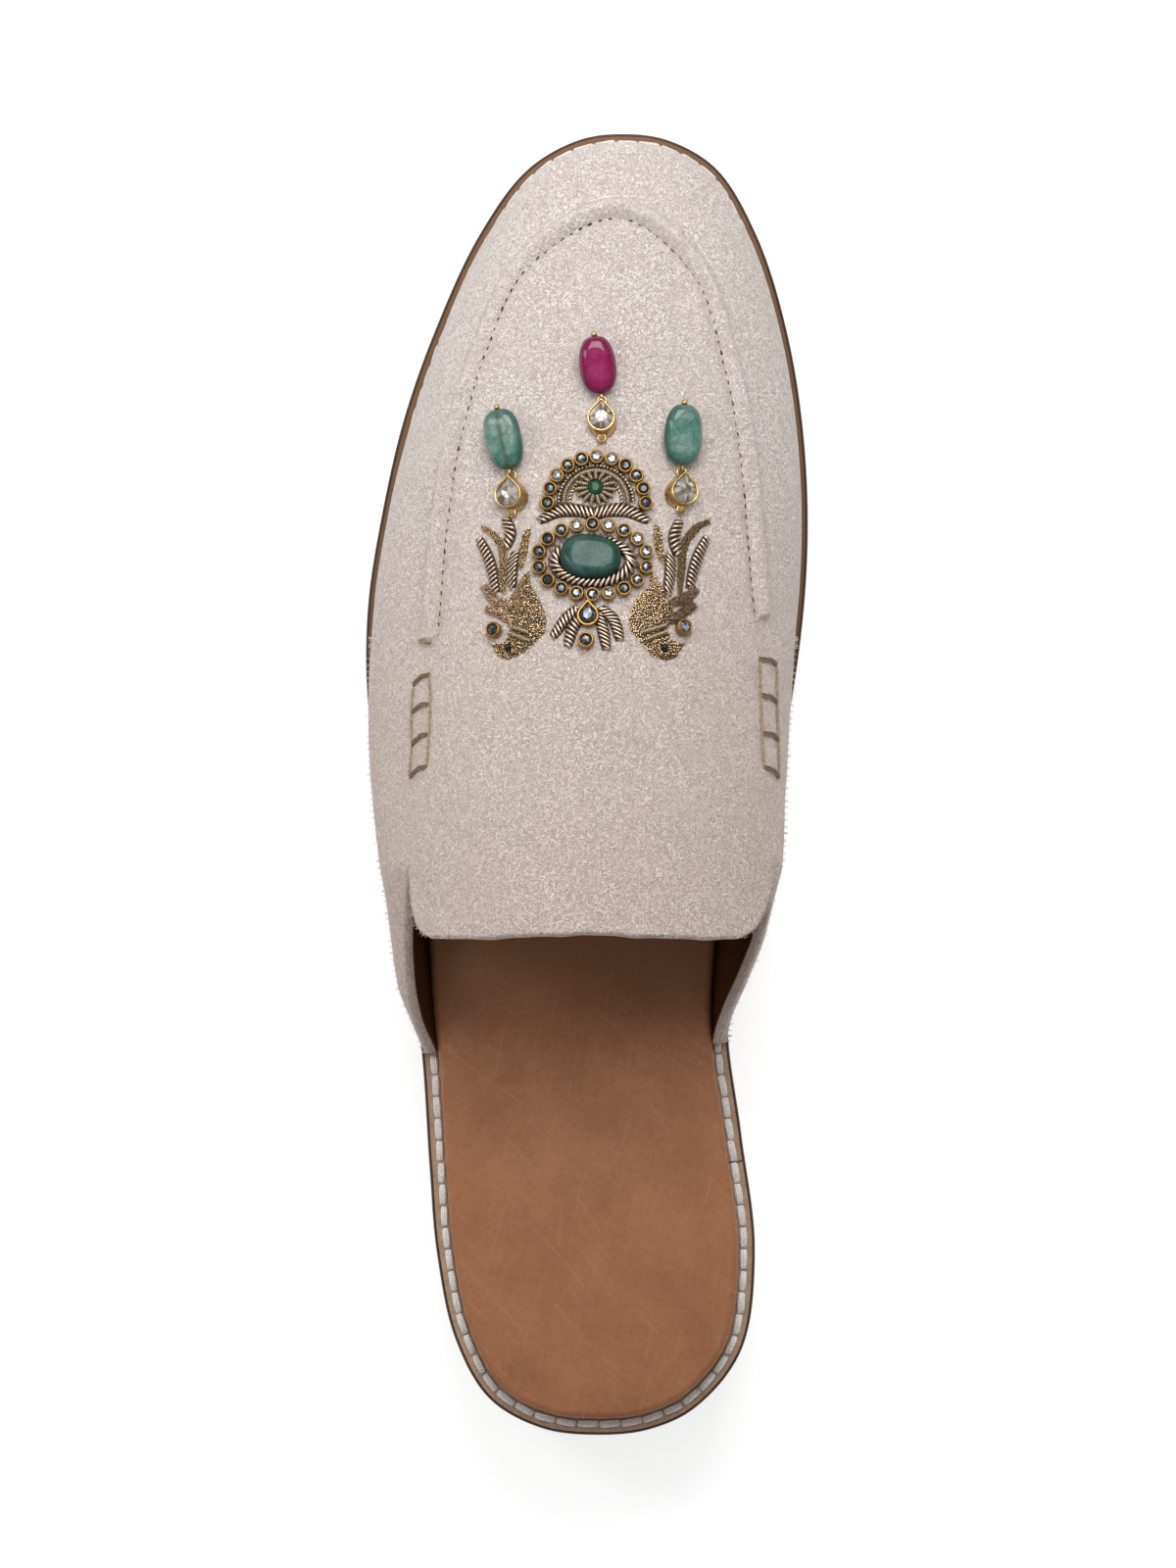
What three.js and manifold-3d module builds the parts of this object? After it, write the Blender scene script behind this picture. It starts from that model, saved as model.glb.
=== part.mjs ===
// Loafer mule for the left foot: a low-heeled slip-on with a suede upper, open at the back.
// Millimetres. +Y points to the toe, +X to the medial side and +Z up.
// The origin is on the floor, under the middle of the sole.
import * as THREE from "three";
import { mergeVertices } from "three/addons/utils/BufferGeometryUtils.js";
import Module from "manifold-3d";

const wasm = await Module();
wasm.setup();

// Driving dimensions
const OUTSOLE_THICKNESS = 4.2;
const WELT_THICKNESS = 2.8;
const INSOLE_THICKNESS = 4.0;
const FILLER_DEPTH = 2.7; // the insole's cork filling, inside the ring of the welt
const FILLER_INSET = 12.0;
const FILLER_OVERLAP = 1.0; // the filling runs this far into the insole board
const WELT_RING_INSET = 11.6;
const WELT_SETBACK = 0.1; // the welt's edge stands in from the outsole's
const HOLE_OVERRUN = 2.0; // a cutting solid runs this far past the faces it cuts
const UPPER_WALL = 2.2; // suede and its lining together
const SEAT_GAP = 0.3; // between curved pieces that rest on each other
const INSOLE_GAP = 0.55; // between the faceted edge of the insole and the wall
const HEEL_BREAST = -52.5; // the front face of the heel, along the foot
const TOP_PIECE_HEIGHT = 5.0;
const EDGE_ROUND = 0.6; // softened edge of the sole leather
const INSOLE_ROUND = 1.1;
const INSOLE_SHOULDER = 0.45; // middle of the insole's rounded edge: how far in and how far down
const SHOULDER_DROP = 0.3;
// The heel narrows downwards, so its layers stand in from the sole's edge
const HEEL_INSETS = { tread: 2.2, treadRound: 1.6, topPiece: 1.4, block: 1.5, seat: 0.7 };
// From the underside of the outsole to the foot of the upper
const FEATHER_RISE = OUTSOLE_THICKNESS + WELT_THICKNESS + 2 * SEAT_GAP;

// Outline of the sole, clockwise from the middle of the heel's back
const SOLE_OUTLINE = [
  { x: 2.2, y: -132.5 },
  { x: -9.2, y: -131.2 },
  { x: -20.0, y: -125.2 },
  { x: -27.0, y: -113.0 },
  { x: -30.8, y: -95.3 },
  { x: -32.3, y: -77.6 },
  { x: -34.0, y: -53.5 },
  { x: -37.8, y: -28.0 },
  { x: -42.0, y: -2.0 },
  { x: -45.0, y: 18.0 },
  { x: -44.9, y: 36.3 },
  { x: -42.0, y: 55.2 },
  { x: -37.6, y: 74.3 },
  { x: -31.0, y: 93.0 },
  { x: -22.3, y: 111.7 },
  { x: -12.4, y: 125.2 },
  { x: -1.8, y: 131.3 },
  { x: 7.3, y: 132.5 },
  { x: 16.4, y: 131.2 },
  { x: 26.2, y: 125.4 },
  { x: 34.5, y: 111.6 },
  { x: 40.6, y: 92.2 },
  { x: 44.0, y: 71.0 },
  { x: 44.8, y: 48.0 },
  { x: 42.6, y: 23.5 },
  { x: 36.2, y: -9.0 },
  { x: 30.6, y: -32.7 },
  { x: 28.5, y: -49.0 },
  { x: 31.2, y: -71.0 },
  { x: 34.0, y: -95.0 },
  { x: 31.2, y: -115.3 },
  { x: 21.8, y: -127.0 },
  { x: 12.4, y: -131.4 },
];

// Side profile: the underside of the outsole, and how far the upper's foot stands in from the sole's edge
const SOLE_PROFILE = [
  { y: -133, z: 21.2 },
  { y: -90, z: 19.6 },
  { y: -50, z: 16.6 },
  { y: -20, z: 9.8 },
  { y: 6, z: 3.4 },
  { y: 36, z: 0 },
  { y: 62, z: 0 },
  { y: 85, z: 1.3 },
  { y: 110, z: 4.6 },
  { y: 133, z: 8.8 },
];
const FEATHER_INSET = [
  { y: -133, inset: 1.1 },
  { y: -52, inset: 1.1 },
  { y: -20, inset: 3.4 },
  { y: 133, inset: 3.4 },
];

// Seam line of the apron from the lateral slit round the toe to the medial slit
const APRON_LINE = [
  { x: -36.6, y: -16.0 },
  { x: -33.9, y: 8.0 },
  { x: -31.1, y: 30.0 },
  { x: -29.4, y: 50.0 },
  { x: -26.6, y: 69.0 },
  { x: -20.9, y: 88.5 },
  { x: -12.4, y: 105.4 },
  { x: 6.3, y: 115.5 },
  { x: 21.4, y: 104.2 },
  { x: 28.0, y: 85.3 },
  { x: 31.5, y: 66.0 },
  { x: 33.3, y: 46.4 },
  { x: 34.8, y: 30.0 },
  { x: 36.2, y: 8.0 },
  { x: 38.2, y: -16.0 },
];

const APRON_APEX = APRON_LINE[7];

// Heights along the foot of the seam line and of the ridge of the instep
const SLIT_Y = -16;
const APRON_PROFILE = [
  { y: -32, edge: 55.0, crest: 76.5 },
  { y: -16, edge: 49.5, crest: 70.5 },
  { y: 0, edge: 46.8, crest: 64.6 },
  { y: 15, edge: 44.6, crest: 59.8 },
  { y: 38, edge: 42.0, crest: 53.4 },
  { y: 60, edge: 40.2, crest: 48.6 },
  { y: 80, edge: 38.6, crest: 44.3 },
  { y: 100, edge: 36.7, crest: 39.6 },
  { y: 115.5, edge: 34.8, crest: 34.8 },
];

// How far the wall swells out past its foot on each side, and the crease where it meets the apron
const WALL_SWELL = [
  { y: -55, lateral: 0.4, medial: 0.4, crease: 0 },
  { y: -49, lateral: 2.2, medial: 1.5, crease: 0 },
  { y: -40, lateral: 4.8, medial: 4.9, crease: 0 },
  { y: -28, lateral: 5.7, medial: 8.0, crease: 0 },
  { y: -16, lateral: 6.1, medial: 8.2, crease: 0 },
  { y: 0, lateral: 5.4, medial: 6.0, crease: 4 },
  { y: 18, lateral: 3.2, medial: 3.6, crease: 10 },
  { y: 35, lateral: 2.1, medial: 2.1, crease: 16 },
  { y: 90, lateral: 2.0, medial: 2.0, crease: 26 },
  { y: 133, lateral: 1.6, medial: 1.6, crease: 32 },
];

// Top line of each quarter behind its slit; lean is the angle of the wall there, below level
const LATERAL_RIM = [
  { y: -54.6, x: -32.7, z: 27.2, lean: 88 },
  { y: -52, x: -34.0, z: 30.0, lean: 86 },
  { y: -48, x: -35.6, z: 33.6, lean: 84 },
  { y: -41, x: -36.9, z: 38.2, lean: 78 },
  { y: -32, x: -37.4, z: 42.8, lean: 70 },
  { y: -24, x: -37.2, z: 46.3, lean: 62 },
  { y: -16, x: -36.6, z: 49.5, lean: 54 },
];
const MEDIAL_RIM = [
  { y: -52.4, x: 27.2, z: 27.0, lean: 90 },
  { y: -50, x: 27.8, z: 29.4, lean: 90 },
  { y: -46, x: 29.2, z: 32.6, lean: 92 },
  { y: -39, x: 32.3, z: 37.6, lean: 92 },
  { y: -32, x: 35.1, z: 41.8, lean: 88 },
  { y: -24, x: 37.2, z: 46.0, lean: 74 },
  { y: -16, x: 38.2, z: 49.5, lean: 56 },
];

// Free edge of the tongue behind the slits
const TONGUE = [
  { y: -20, lateral: -36.3, medial: 37.3 },
  { y: -24, lateral: -35.9, medial: 35.9 },
  { y: -27.5, lateral: -35.0, medial: 34.2 },
  { y: -29.8, lateral: -33.4, medial: 32.2 },
  { y: -31.2, lateral: -30.4, medial: 29.4 },
];

// Raised seam outside the apron line: its section, and where it ends on each side
const RIDGE_SECTION = [
  { across: 0.7, rise: 1.0 },
  { across: 2.2, rise: 1.35 },
  { across: 3.7, rise: 1.0 },
  { across: 4.4, rise: 0 },
];
const RIDGE_FOOT = 5.6; // the plain wall starts this far below the apron line
const RIDGE_END_LATERAL = 29;
const RIDGE_END_MEDIAL = 33.8;
const RIDGE_END_LENGTH = 1;

// Sections of the upper
const FAN_CENTRE = { x: 4.5, y: 62 };
const FAN_STEPS = 22;
const STRAIGHT_STATIONS = [-16, -6, 4, 13, 21, 28, 29.2, 33.6, 35, 44, 53, 62];
const WALL_ROWS = 7;
const SHORT_WALL = 14; // below this height a wall's rows are squeezed and its thickness is taken level
const VAMP_COLUMNS = 12;
const QUARTER_STEPS = 6;
// Level of the wall's widest place, how full the wall is above it, and the reach of its curves' handles
const WIDEST = { low: 0.37, high: 0.66, fullness: 0.9 };
const WALL_HANDLES = { foot: 0.5, footRise: 0.3, below: 0.45, above: 0.5, top: 0.34 };
const VAMP_CROWN = { square: 0.8, quartic: 0.2 }; // how the vamp falls from its crest to the seam line
const EDGE_STEEPENING = 1.12; // the wall starts down this much steeper than the vamp ends

// Stations along the sole pieces and the heel
const SOLE_STATIONS = 36;
const HEEL_STATIONS = 16;

// Jewelled settings: a half ring over the medallion, the medallion's ring and the lone ones
const CRESCENT = { x: 1.7, y: 57.0, radius: 10.0, count: 11 };
const MEDALLION = { x: 0.95, y: 45.3, across: 10.9, along: 7.2, count: 18 };
const SETTING_RADIUS = 1.42;
const FLOWER_STONE = { x: 1.5, y: 60.1 };
const LONE_SETTINGS = [
  { name: "pear_setting", x: 0.0, y: 34.0, radius: 2.2, stretch: 1.25 },
  { name: "round_setting", x: -0.4, y: 28.8, radius: 1.65, stretch: 1 },
  { name: "lateral_bird_setting", x: -18.7, y: 31.0, radius: 1.6, stretch: 1 },
  { name: "medial_bird_setting", x: 19.1, y: 31.5, radius: 1.6, stretch: 1 },
];

// Domed stone in the middle of the medallion, and its band of twisted coil
const CABOCHON = { across: 6.2, along: 4.5, height: 3.4 };
const COIL_BAND = { across: 8.9, along: 5.5, height: 1.6 };

// Danglers: the drop's lower eye is sewn down, and the bead's wire loop hangs in its upper eye
const EYE = { radius: 0.75, wire: 0.28, height: 1.4 };
const LINK_EYE = { radius: 0.9, wire: 0.3 };
const LOOP = { radius: 0.85, wire: 0.25 };
const DROP = { reach: 7.7, radius: 2.95, tip: 3.45, bottom: 0.4, top: 2.8, bevel: 0.45 };
const BEAD = { thickness: 5.2, pitch: 14.5, ball: 0.65 };
const DANGLERS = [
  { name: "ruby", x: 2.8, y: 70.0, dropHeading: 0, beadHeading: -6.9, width: 7.3, length: 11.8 },
  { name: "lateral", x: -15.1, y: 54.8, dropHeading: 0, beadHeading: -8.9, width: 7.7, length: 12.4 },
  { name: "medial", x: 18.5, y: 55.5, dropHeading: 0.7, beadHeading: -1.3, width: 7.7, length: 12.4 },
];

// Curves through the tables
function smooth(table, key) {
  const xs = table.map((row) => row.y);
  const values = table.map((row) => row[key]);
  const last = xs.length - 1;
  const slope = (i) => (values[i + 1] - values[i]) / (xs[i + 1] - xs[i]);
  const tangents = values.map((_, i) => {
    if (i === 0) return slope(0);
    if (i === last) return slope(last - 1);
    const before = slope(i - 1);
    const after = slope(i);
    return before * after <= 0 ? 0 : (2 * before * after) / (before + after);
  });
  return (y) => {
    const at = THREE.MathUtils.clamp(y, xs[0], xs[last]);
    let i = 0;
    while (i < last - 1 && at > xs[i + 1]) i += 1;
    const span = xs[i + 1] - xs[i];
    const t = (at - xs[i]) / span;
    const rise = tangents[i] * span * t * (1 - t) ** 2 - tangents[i + 1] * span * t * t * (1 - t);
    return values[i] * (1 + 2 * t) * (1 - t) ** 2 + values[i + 1] * t * t * (3 - 2 * t) + rise;
  };
}

function curveThrough(rows, closed, samples) {
  const points = rows.map((row) => new THREE.Vector3(row.x, row.y, 0));
  return new THREE.CatmullRomCurve3(points, closed, "centripetal").getPoints(samples);
}

const underside = smooth(SOLE_PROFILE, "z");
const featherInset = smooth(FEATHER_INSET, "inset");
const edgeHeight = smooth(APRON_PROFILE, "edge");
const crestHeight = smooth(APRON_PROFILE, "crest");
const featherHeight = (y) => underside(y) + FEATHER_RISE;
const soleOutline = curveThrough(SOLE_OUTLINE, true, 720).slice(0, -1);
const apronLine = curveThrough(APRON_LINE, false, 600);

// The outline moved in by a distance that may change along the foot
function insetOutline(insetAt) {
  const count = soleOutline.length;
  return soleOutline.map((point, i) => {
    const before = soleOutline[(i + count - 1) % count];
    const after = soleOutline[(i + 1) % count];
    const along = after.clone().sub(before).normalize();
    const inward = new THREE.Vector3(along.y, -along.x, 0);
    return point.clone().addScaledVector(inward, insetAt(point.y));
  });
}

// Where a ray from a centre leaves a line, and the line's outward direction there
function reach(line, closed, centre, direction) {
  const count = closed ? line.length : line.length - 1;
  for (let i = 0; i < count; i += 1) {
    const a = line[i];
    const b = line[(i + 1) % line.length];
    const ax = a.x - centre.x;
    const ay = a.y - centre.y;
    const bx = b.x - centre.x;
    const by = b.y - centre.y;
    const sideA = direction.x * ay - direction.y * ax;
    const sideB = direction.x * by - direction.y * bx;
    if (sideA * sideB > 0 || sideA === sideB) continue;
    const t = sideA / (sideA - sideB);
    const point = new THREE.Vector3(a.x + (b.x - a.x) * t, a.y + (b.y - a.y) * t, 0);
    const ahead = (point.x - centre.x) * direction.x + (point.y - centre.y) * direction.y;
    if (ahead <= 0) continue;
    const along = b.clone().sub(a).normalize();
    const outward = new THREE.Vector3(-along.y, along.x, 0);
    if (outward.dot(direction) < 0) outward.negate();
    return { point, outward };
  }
  throw new Error("a ray misses its line");
}

// Geometry helpers
function geometryOf(points, faces) {
  const geometry = new THREE.BufferGeometry();
  const numbers = points.flatMap((point) => point.toArray());
  geometry.setAttribute("position", new THREE.Float32BufferAttribute(numbers, 3));
  geometry.setIndex(faces.flat());
  return geometry;
}

// A stack of level loops, closed below and above.
// Each loop runs from the heel up one side and down the other.
function stackLoops(loops) {
  const size = loops[0].length;
  const points = loops.flat();
  const faces = [];
  for (let ring = 0; ring + 1 < loops.length; ring += 1) {
    for (let k = 0; k < size; k += 1) {
      const next = (k + 1) % size;
      const a = ring * size + k;
      const b = ring * size + next;
      faces.push([a, b, b + size], [a, b + size, a + size]);
    }
  }
  const top = (loops.length - 1) * size;
  for (let k = 0; k < size - k - 1; k += 1) {
    const right = [k, k + 1];
    const left = [(size - k) % size, size - k - 1];
    const quads = [[right[0], right[1], left[1]], [right[0], left[1], left[0]]];
    for (const [a, b, c] of quads) {
      if (a === b || b === c || a === c) continue;
      faces.push([a, c, b], [top + a, top + b, top + c]);
    }
  }
  return geometryOf(points, faces);
}

// One loop of a sole piece: right side up from the heel, left side down from the toe
function soleLoop(insetAt, heightAt, stations, frontY) {
  const outline = insetOutline(insetAt);
  const ys = outline.map((point) => point.y);
  const back = outline[ys.indexOf(Math.min(...ys))];
  const toe = outline[ys.indexOf(Math.max(...ys))];
  const front = frontY ?? toe.y;
  const lifted = (point) => new THREE.Vector3(point.x, point.y, heightAt(point.y));
  const right = [];
  const left = [];
  const last = frontY === undefined ? stations - 1 : stations;
  for (let i = 1; i <= last; i += 1) {
    const turn = frontY === undefined ? Math.PI : Math.PI / 2;
    const part = (1 - Math.cos((i / stations) * turn)) / (frontY === undefined ? 2 : 1);
    const y = back.y + (front - back.y) * part;
    const centre = new THREE.Vector3(THREE.MathUtils.lerp(back.x, toe.x, part), y, 0);
    right.push(lifted(reach(outline, true, centre, new THREE.Vector3(1, 0, 0)).point));
    left.unshift(lifted(reach(outline, true, centre, new THREE.Vector3(-1, 0, 0)).point));
  }
  const apex = frontY === undefined ? [lifted(toe)] : [];
  return [lifted(back), ...right, ...apex, ...left];
}

// A sole piece from the layers of its edge: each layer has an inset and a height over the underside
function solePlate(layers, stations, frontY) {
  return stackLoops(layers.map((layer) => soleLoop(layer.inset, layer.height, stations, frontY)));
}

function toManifold(geometry) {
  const bare = geometry.clone();
  bare.deleteAttribute("normal");
  bare.deleteAttribute("uv");
  const merged = mergeVertices(bare, 1e-5);
  const corners = [...merged.index.array];
  const triangles = [];
  for (let i = 0; i < corners.length; i += 3) {
    const [a, b, c] = corners.slice(i, i + 3);
    if (a !== b && b !== c && a !== c) triangles.push(a, b, c);
  }
  return new wasm.Manifold(new wasm.Mesh({
    numProp: 3,
    vertProperties: new Float32Array(merged.attributes.position.array),
    triVerts: new Uint32Array(triangles),
  }));
}

function fromManifold(solid) {
  const { vertProperties, triVerts } = solid.getMesh();
  const geometry = new THREE.BufferGeometry();
  geometry.setAttribute("position", new THREE.BufferAttribute(new Float32Array(vertProperties), 3));
  geometry.setIndex(new THREE.BufferAttribute(new Uint32Array(triVerts), 1));
  return geometry;
}

// Materials
function material(color, roughness, metalness = 0) {
  return new THREE.MeshStandardMaterial({ color, roughness, metalness });
}
const suede = material("#d2c5bf", 0.95);
const insoleLeather = material("#96694c", 0.6);
const soleLeather = material("#7c6252", 0.6);
const weltLeather = material("#9e8779", 0.65);
const heelRubber = material("#3d3029", 0.8);
const antiqueGold = material("#9c7d55", 0.4, 0.8);
const brightGold = material("#c7a469", 0.3, 0.9);
const coilThread = material("#8a6f52", 0.5, 0.6);
const goldThread = material("#a98d63", 0.6, 0.3);
const greenStone = material("#5f746b", 0.25);
const rubyBead = material("#8c3f60", 0.25);
const greenBead = material("#64786c", 0.25);

const shoe = new THREE.Group();
function add(name, geometry, finish, parent = shoe) {
  const mesh = new THREE.Mesh(geometry, finish);
  mesh.name = name;
  parent.add(mesh);
  return mesh;
}

// Outsole: the full outline, with softened edges
const constant = (value) => () => value;
add("outsole", solePlate([
  { inset: constant(EDGE_ROUND), height: underside },
  { inset: constant(0), height: (y) => underside(y) + EDGE_ROUND },
  { inset: constant(0), height: (y) => underside(y) + OUTSOLE_THICKNESS - EDGE_ROUND },
  { inset: constant(EDGE_ROUND), height: (y) => underside(y) + OUTSOLE_THICKNESS },
], SOLE_STATIONS), soleLeather);

// Welt: a strip round the edge, on the outsole
const weltFloor = (y) => underside(y) + OUTSOLE_THICKNESS + SEAT_GAP;
const weltPlate = solePlate([
  { inset: constant(EDGE_ROUND), height: weltFloor },
  { inset: constant(WELT_SETBACK), height: (y) => weltFloor(y) + EDGE_ROUND },
  { inset: constant(WELT_SETBACK), height: (y) => weltFloor(y) + WELT_THICKNESS - EDGE_ROUND },
  { inset: constant(EDGE_ROUND), height: (y) => weltFloor(y) + WELT_THICKNESS },
], SOLE_STATIONS);
const weltHole = solePlate([
  { inset: constant(WELT_RING_INSET), height: (y) => weltFloor(y) - HOLE_OVERRUN },
  { inset: constant(WELT_RING_INSET), height: (y) => weltFloor(y) + WELT_THICKNESS + HOLE_OVERRUN },
], SOLE_STATIONS);
add("welt", fromManifold(toManifold(weltPlate).subtract(toManifold(weltHole))), weltLeather);

// Insole: it fills the upper, and its cork filling reaches down inside the welt
const insoleEdge = (y) => featherInset(y) + UPPER_WALL + INSOLE_GAP;
const insoleTop = (y) => featherHeight(y) + INSOLE_THICKNESS;
const insoleBoard = solePlate([
  { inset: insoleEdge, height: featherHeight },
  { inset: insoleEdge, height: (y) => insoleTop(y) - INSOLE_ROUND },
  { inset: (y) => insoleEdge(y) + INSOLE_SHOULDER, height: (y) => insoleTop(y) - SHOULDER_DROP },
  { inset: (y) => insoleEdge(y) + INSOLE_ROUND, height: insoleTop },
], SOLE_STATIONS);
const filler = solePlate([
  { inset: constant(FILLER_INSET), height: (y) => featherHeight(y) - FILLER_DEPTH },
  { inset: constant(FILLER_INSET), height: (y) => featherHeight(y) + FILLER_OVERLAP },
], SOLE_STATIONS);
add("insole", fromManifold(toManifold(insoleBoard).add(toManifold(filler))), insoleLeather);

// Heel: stacked leather over a rubber top piece, a little narrower than the seat
add("heel_block", solePlate([
  { inset: constant(HEEL_INSETS.block), height: constant(TOP_PIECE_HEIGHT) },
  { inset: constant(HEEL_INSETS.seat), height: (y) => underside(y) - SEAT_GAP },
], HEEL_STATIONS, HEEL_BREAST), soleLeather);
add("heel_top_piece", solePlate([
  { inset: constant(HEEL_INSETS.tread), height: constant(0) },
  { inset: constant(HEEL_INSETS.treadRound), height: constant(EDGE_ROUND) },
  { inset: constant(HEEL_INSETS.topPiece), height: constant(TOP_PIECE_HEIGHT) },
], HEEL_STATIONS, HEEL_BREAST), heelRubber);

// Upper: height of the vamp and tongue over any place on the foot
const apronReach = (y, side) => {
  const clamped = THREE.MathUtils.clamp(y, SLIT_Y, APRON_APEX.y - 0.1);
  const centre = new THREE.Vector3(APRON_APEX.x, clamped, 0);
  return reach(apronLine, false, centre, new THREE.Vector3(side, 0, 0)).point.x;
};
function vampHeight(x, y) {
  const left = apronReach(y, -1);
  const right = apronReach(y, 1);
  const across = THREE.MathUtils.clamp((2 * x - left - right) / (right - left), -1.05, 1.05);
  const crown = 1 - VAMP_CROWN.square * across ** 2 - VAMP_CROWN.quartic * across ** 4;
  return edgeHeight(y) + (crestHeight(y) - edgeHeight(y)) * crown;
}
const onVamp = (x, y) => new THREE.Vector3(x, y, vampHeight(x, y));

const featherLine = insetOutline(featherInset);
const swellAt = { lateral: smooth(WALL_SWELL, "lateral"), medial: smooth(WALL_SWELL, "medial") };
const creaseAt = smooth(WALL_SWELL, "crease");

// A section of the wall from its foot to its top line, as measured points on two curves.
// They meet upright at the widest place, which is low where the top leans in and higher where it stands out.
function wallSection({ foot, outward, top, radial, swell, lean }) {
  const rise = top.z - foot.z;
  const overhang = top.clone().sub(foot).dot(outward);
  const level = THREE.MathUtils.lerp(WIDEST.low, WIDEST.high, THREE.MathUtils.clamp(overhang / swell, 0, 1));
  const widest = foot.clone().addScaledVector(outward, swell);
  widest.z += level * rise;
  const chord = Math.atan2(top.z - widest.z, swell - overhang);
  const angle = Math.min(THREE.MathUtils.degToRad(lean), WIDEST.fullness * chord);
  const afterFoot = foot.clone().addScaledVector(outward, WALL_HANDLES.foot * swell);
  afterFoot.z += WALL_HANDLES.footRise * level * rise;
  const belowWidest = widest.clone();
  belowWidest.z -= WALL_HANDLES.below * level * rise;
  const aboveWidest = widest.clone();
  aboveWidest.z += WALL_HANDLES.above * (top.z - widest.z);
  const head = WALL_HANDLES.top * top.distanceTo(widest);
  const beforeTop = top.clone().addScaledVector(radial, head * Math.cos(angle));
  beforeTop.z -= head * Math.sin(angle);
  const curve = new THREE.CurvePath();
  curve.add(new THREE.CubicBezierCurve3(foot, afterFoot, belowWidest, widest));
  curve.add(new THREE.CubicBezierCurve3(widest, aboveWidest, beforeTop, top));
  const length = curve.getLength();
  const squeeze = Math.min(1, length / SHORT_WALL);
  const nearTop = [...RIDGE_SECTION].reverse().map((row) => 1 - (row.across * squeeze) / length);
  const lowest = 1 - (RIDGE_FOOT * squeeze) / length;
  const parts = [];
  for (let j = 0; j < WALL_ROWS; j += 1) {
    parts.push((lowest * j) / (WALL_ROWS - 1));
  }
  parts.push(...nearTop, 1);
  return parts.map((part) => curve.getPoint(THREE.MathUtils.clamp(part, 0, 1)));
}

// The wall's columns, from the lateral quarter's end round the toe to the medial quarter's end
function straightColumn(y, side) {
  const radial = new THREE.Vector3(side, 0, 0);
  const centre = new THREE.Vector3(0, y, 0);
  const sideName = side < 0 ? "lateral" : "medial";
  const { point: foot, outward } = reach(featherLine, true, centre, radial);
  foot.z = featherHeight(y);
  const column = { foot, outward, radial, swell: swellAt[sideName](y), y };
  if (y < SLIT_Y) {
    const rim = side < 0 ? LATERAL_RIM : MEDIAL_RIM;
    const top = new THREE.Vector3(smooth(rim, "x")(y), y, smooth(rim, "z")(y));
    return { ...column, top, lean: smooth(rim, "lean")(y) };
  }
  const x = reach(apronLine, false, new THREE.Vector3(0, y + 1e-6, 0), radial).point.x;
  return { ...column, ...vampEdge(x, y, radial) };
}

function fanColumn(angle) {
  const radial = new THREE.Vector3(Math.cos(angle), Math.sin(angle), 0);
  const { point: foot, outward } = reach(featherLine, true, FAN_CENTRE, radial);
  foot.z = featherHeight(foot.y);
  const edge = reach(apronLine, false, FAN_CENTRE, radial).point;
  const swell = swellAt[radial.x < 0 ? "lateral" : "medial"](foot.y);
  return { foot, outward, radial, swell, y: foot.y, ...vampEdge(edge.x, edge.y, radial) };
}

// The top of a wall column on the apron line, with the vamp's slope there and the crease added to it
function vampEdge(x, y, radial) {
  const top = new THREE.Vector3(x, y, edgeHeight(y));
  const step = 2;
  const within = onVamp(x - radial.x * step, y - radial.y * step);
  const slope = THREE.MathUtils.radToDeg(Math.atan2(within.z - top.z, step));
  return { top, lean: slope * EDGE_STEEPENING + creaseAt(y) };
}

function quarterStations(rim) {
  const end = rim[0].y;
  return Array.from({ length: QUARTER_STEPS }, (_, i) => end + ((SLIT_Y - end) * i) / QUARTER_STEPS);
}
const fanAngles = Array.from({ length: FAN_STEPS - 1 }, (_, i) => Math.PI - (Math.PI * (i + 1)) / FAN_STEPS);
const columns = [
  ...quarterStations(LATERAL_RIM).map((y) => straightColumn(y, -1)),
  ...STRAIGHT_STATIONS.map((y) => straightColumn(y, -1)),
  ...fanAngles.map(fanColumn),
  ...[...STRAIGHT_STATIONS].reverse().map((y) => straightColumn(y, 1)),
  ...quarterStations(MEDIAL_RIM).reverse().map((y) => straightColumn(y, 1)),
];

// The ridge follows the apron line and stops short of the slits
function ridgeShare(column) {
  const end = column.radial.x < 0 ? RIDGE_END_LATERAL : RIDGE_END_MEDIAL;
  return THREE.MathUtils.clamp((column.top.y - end) / RIDGE_END_LENGTH + 0.5, 0, 1);
}

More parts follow.
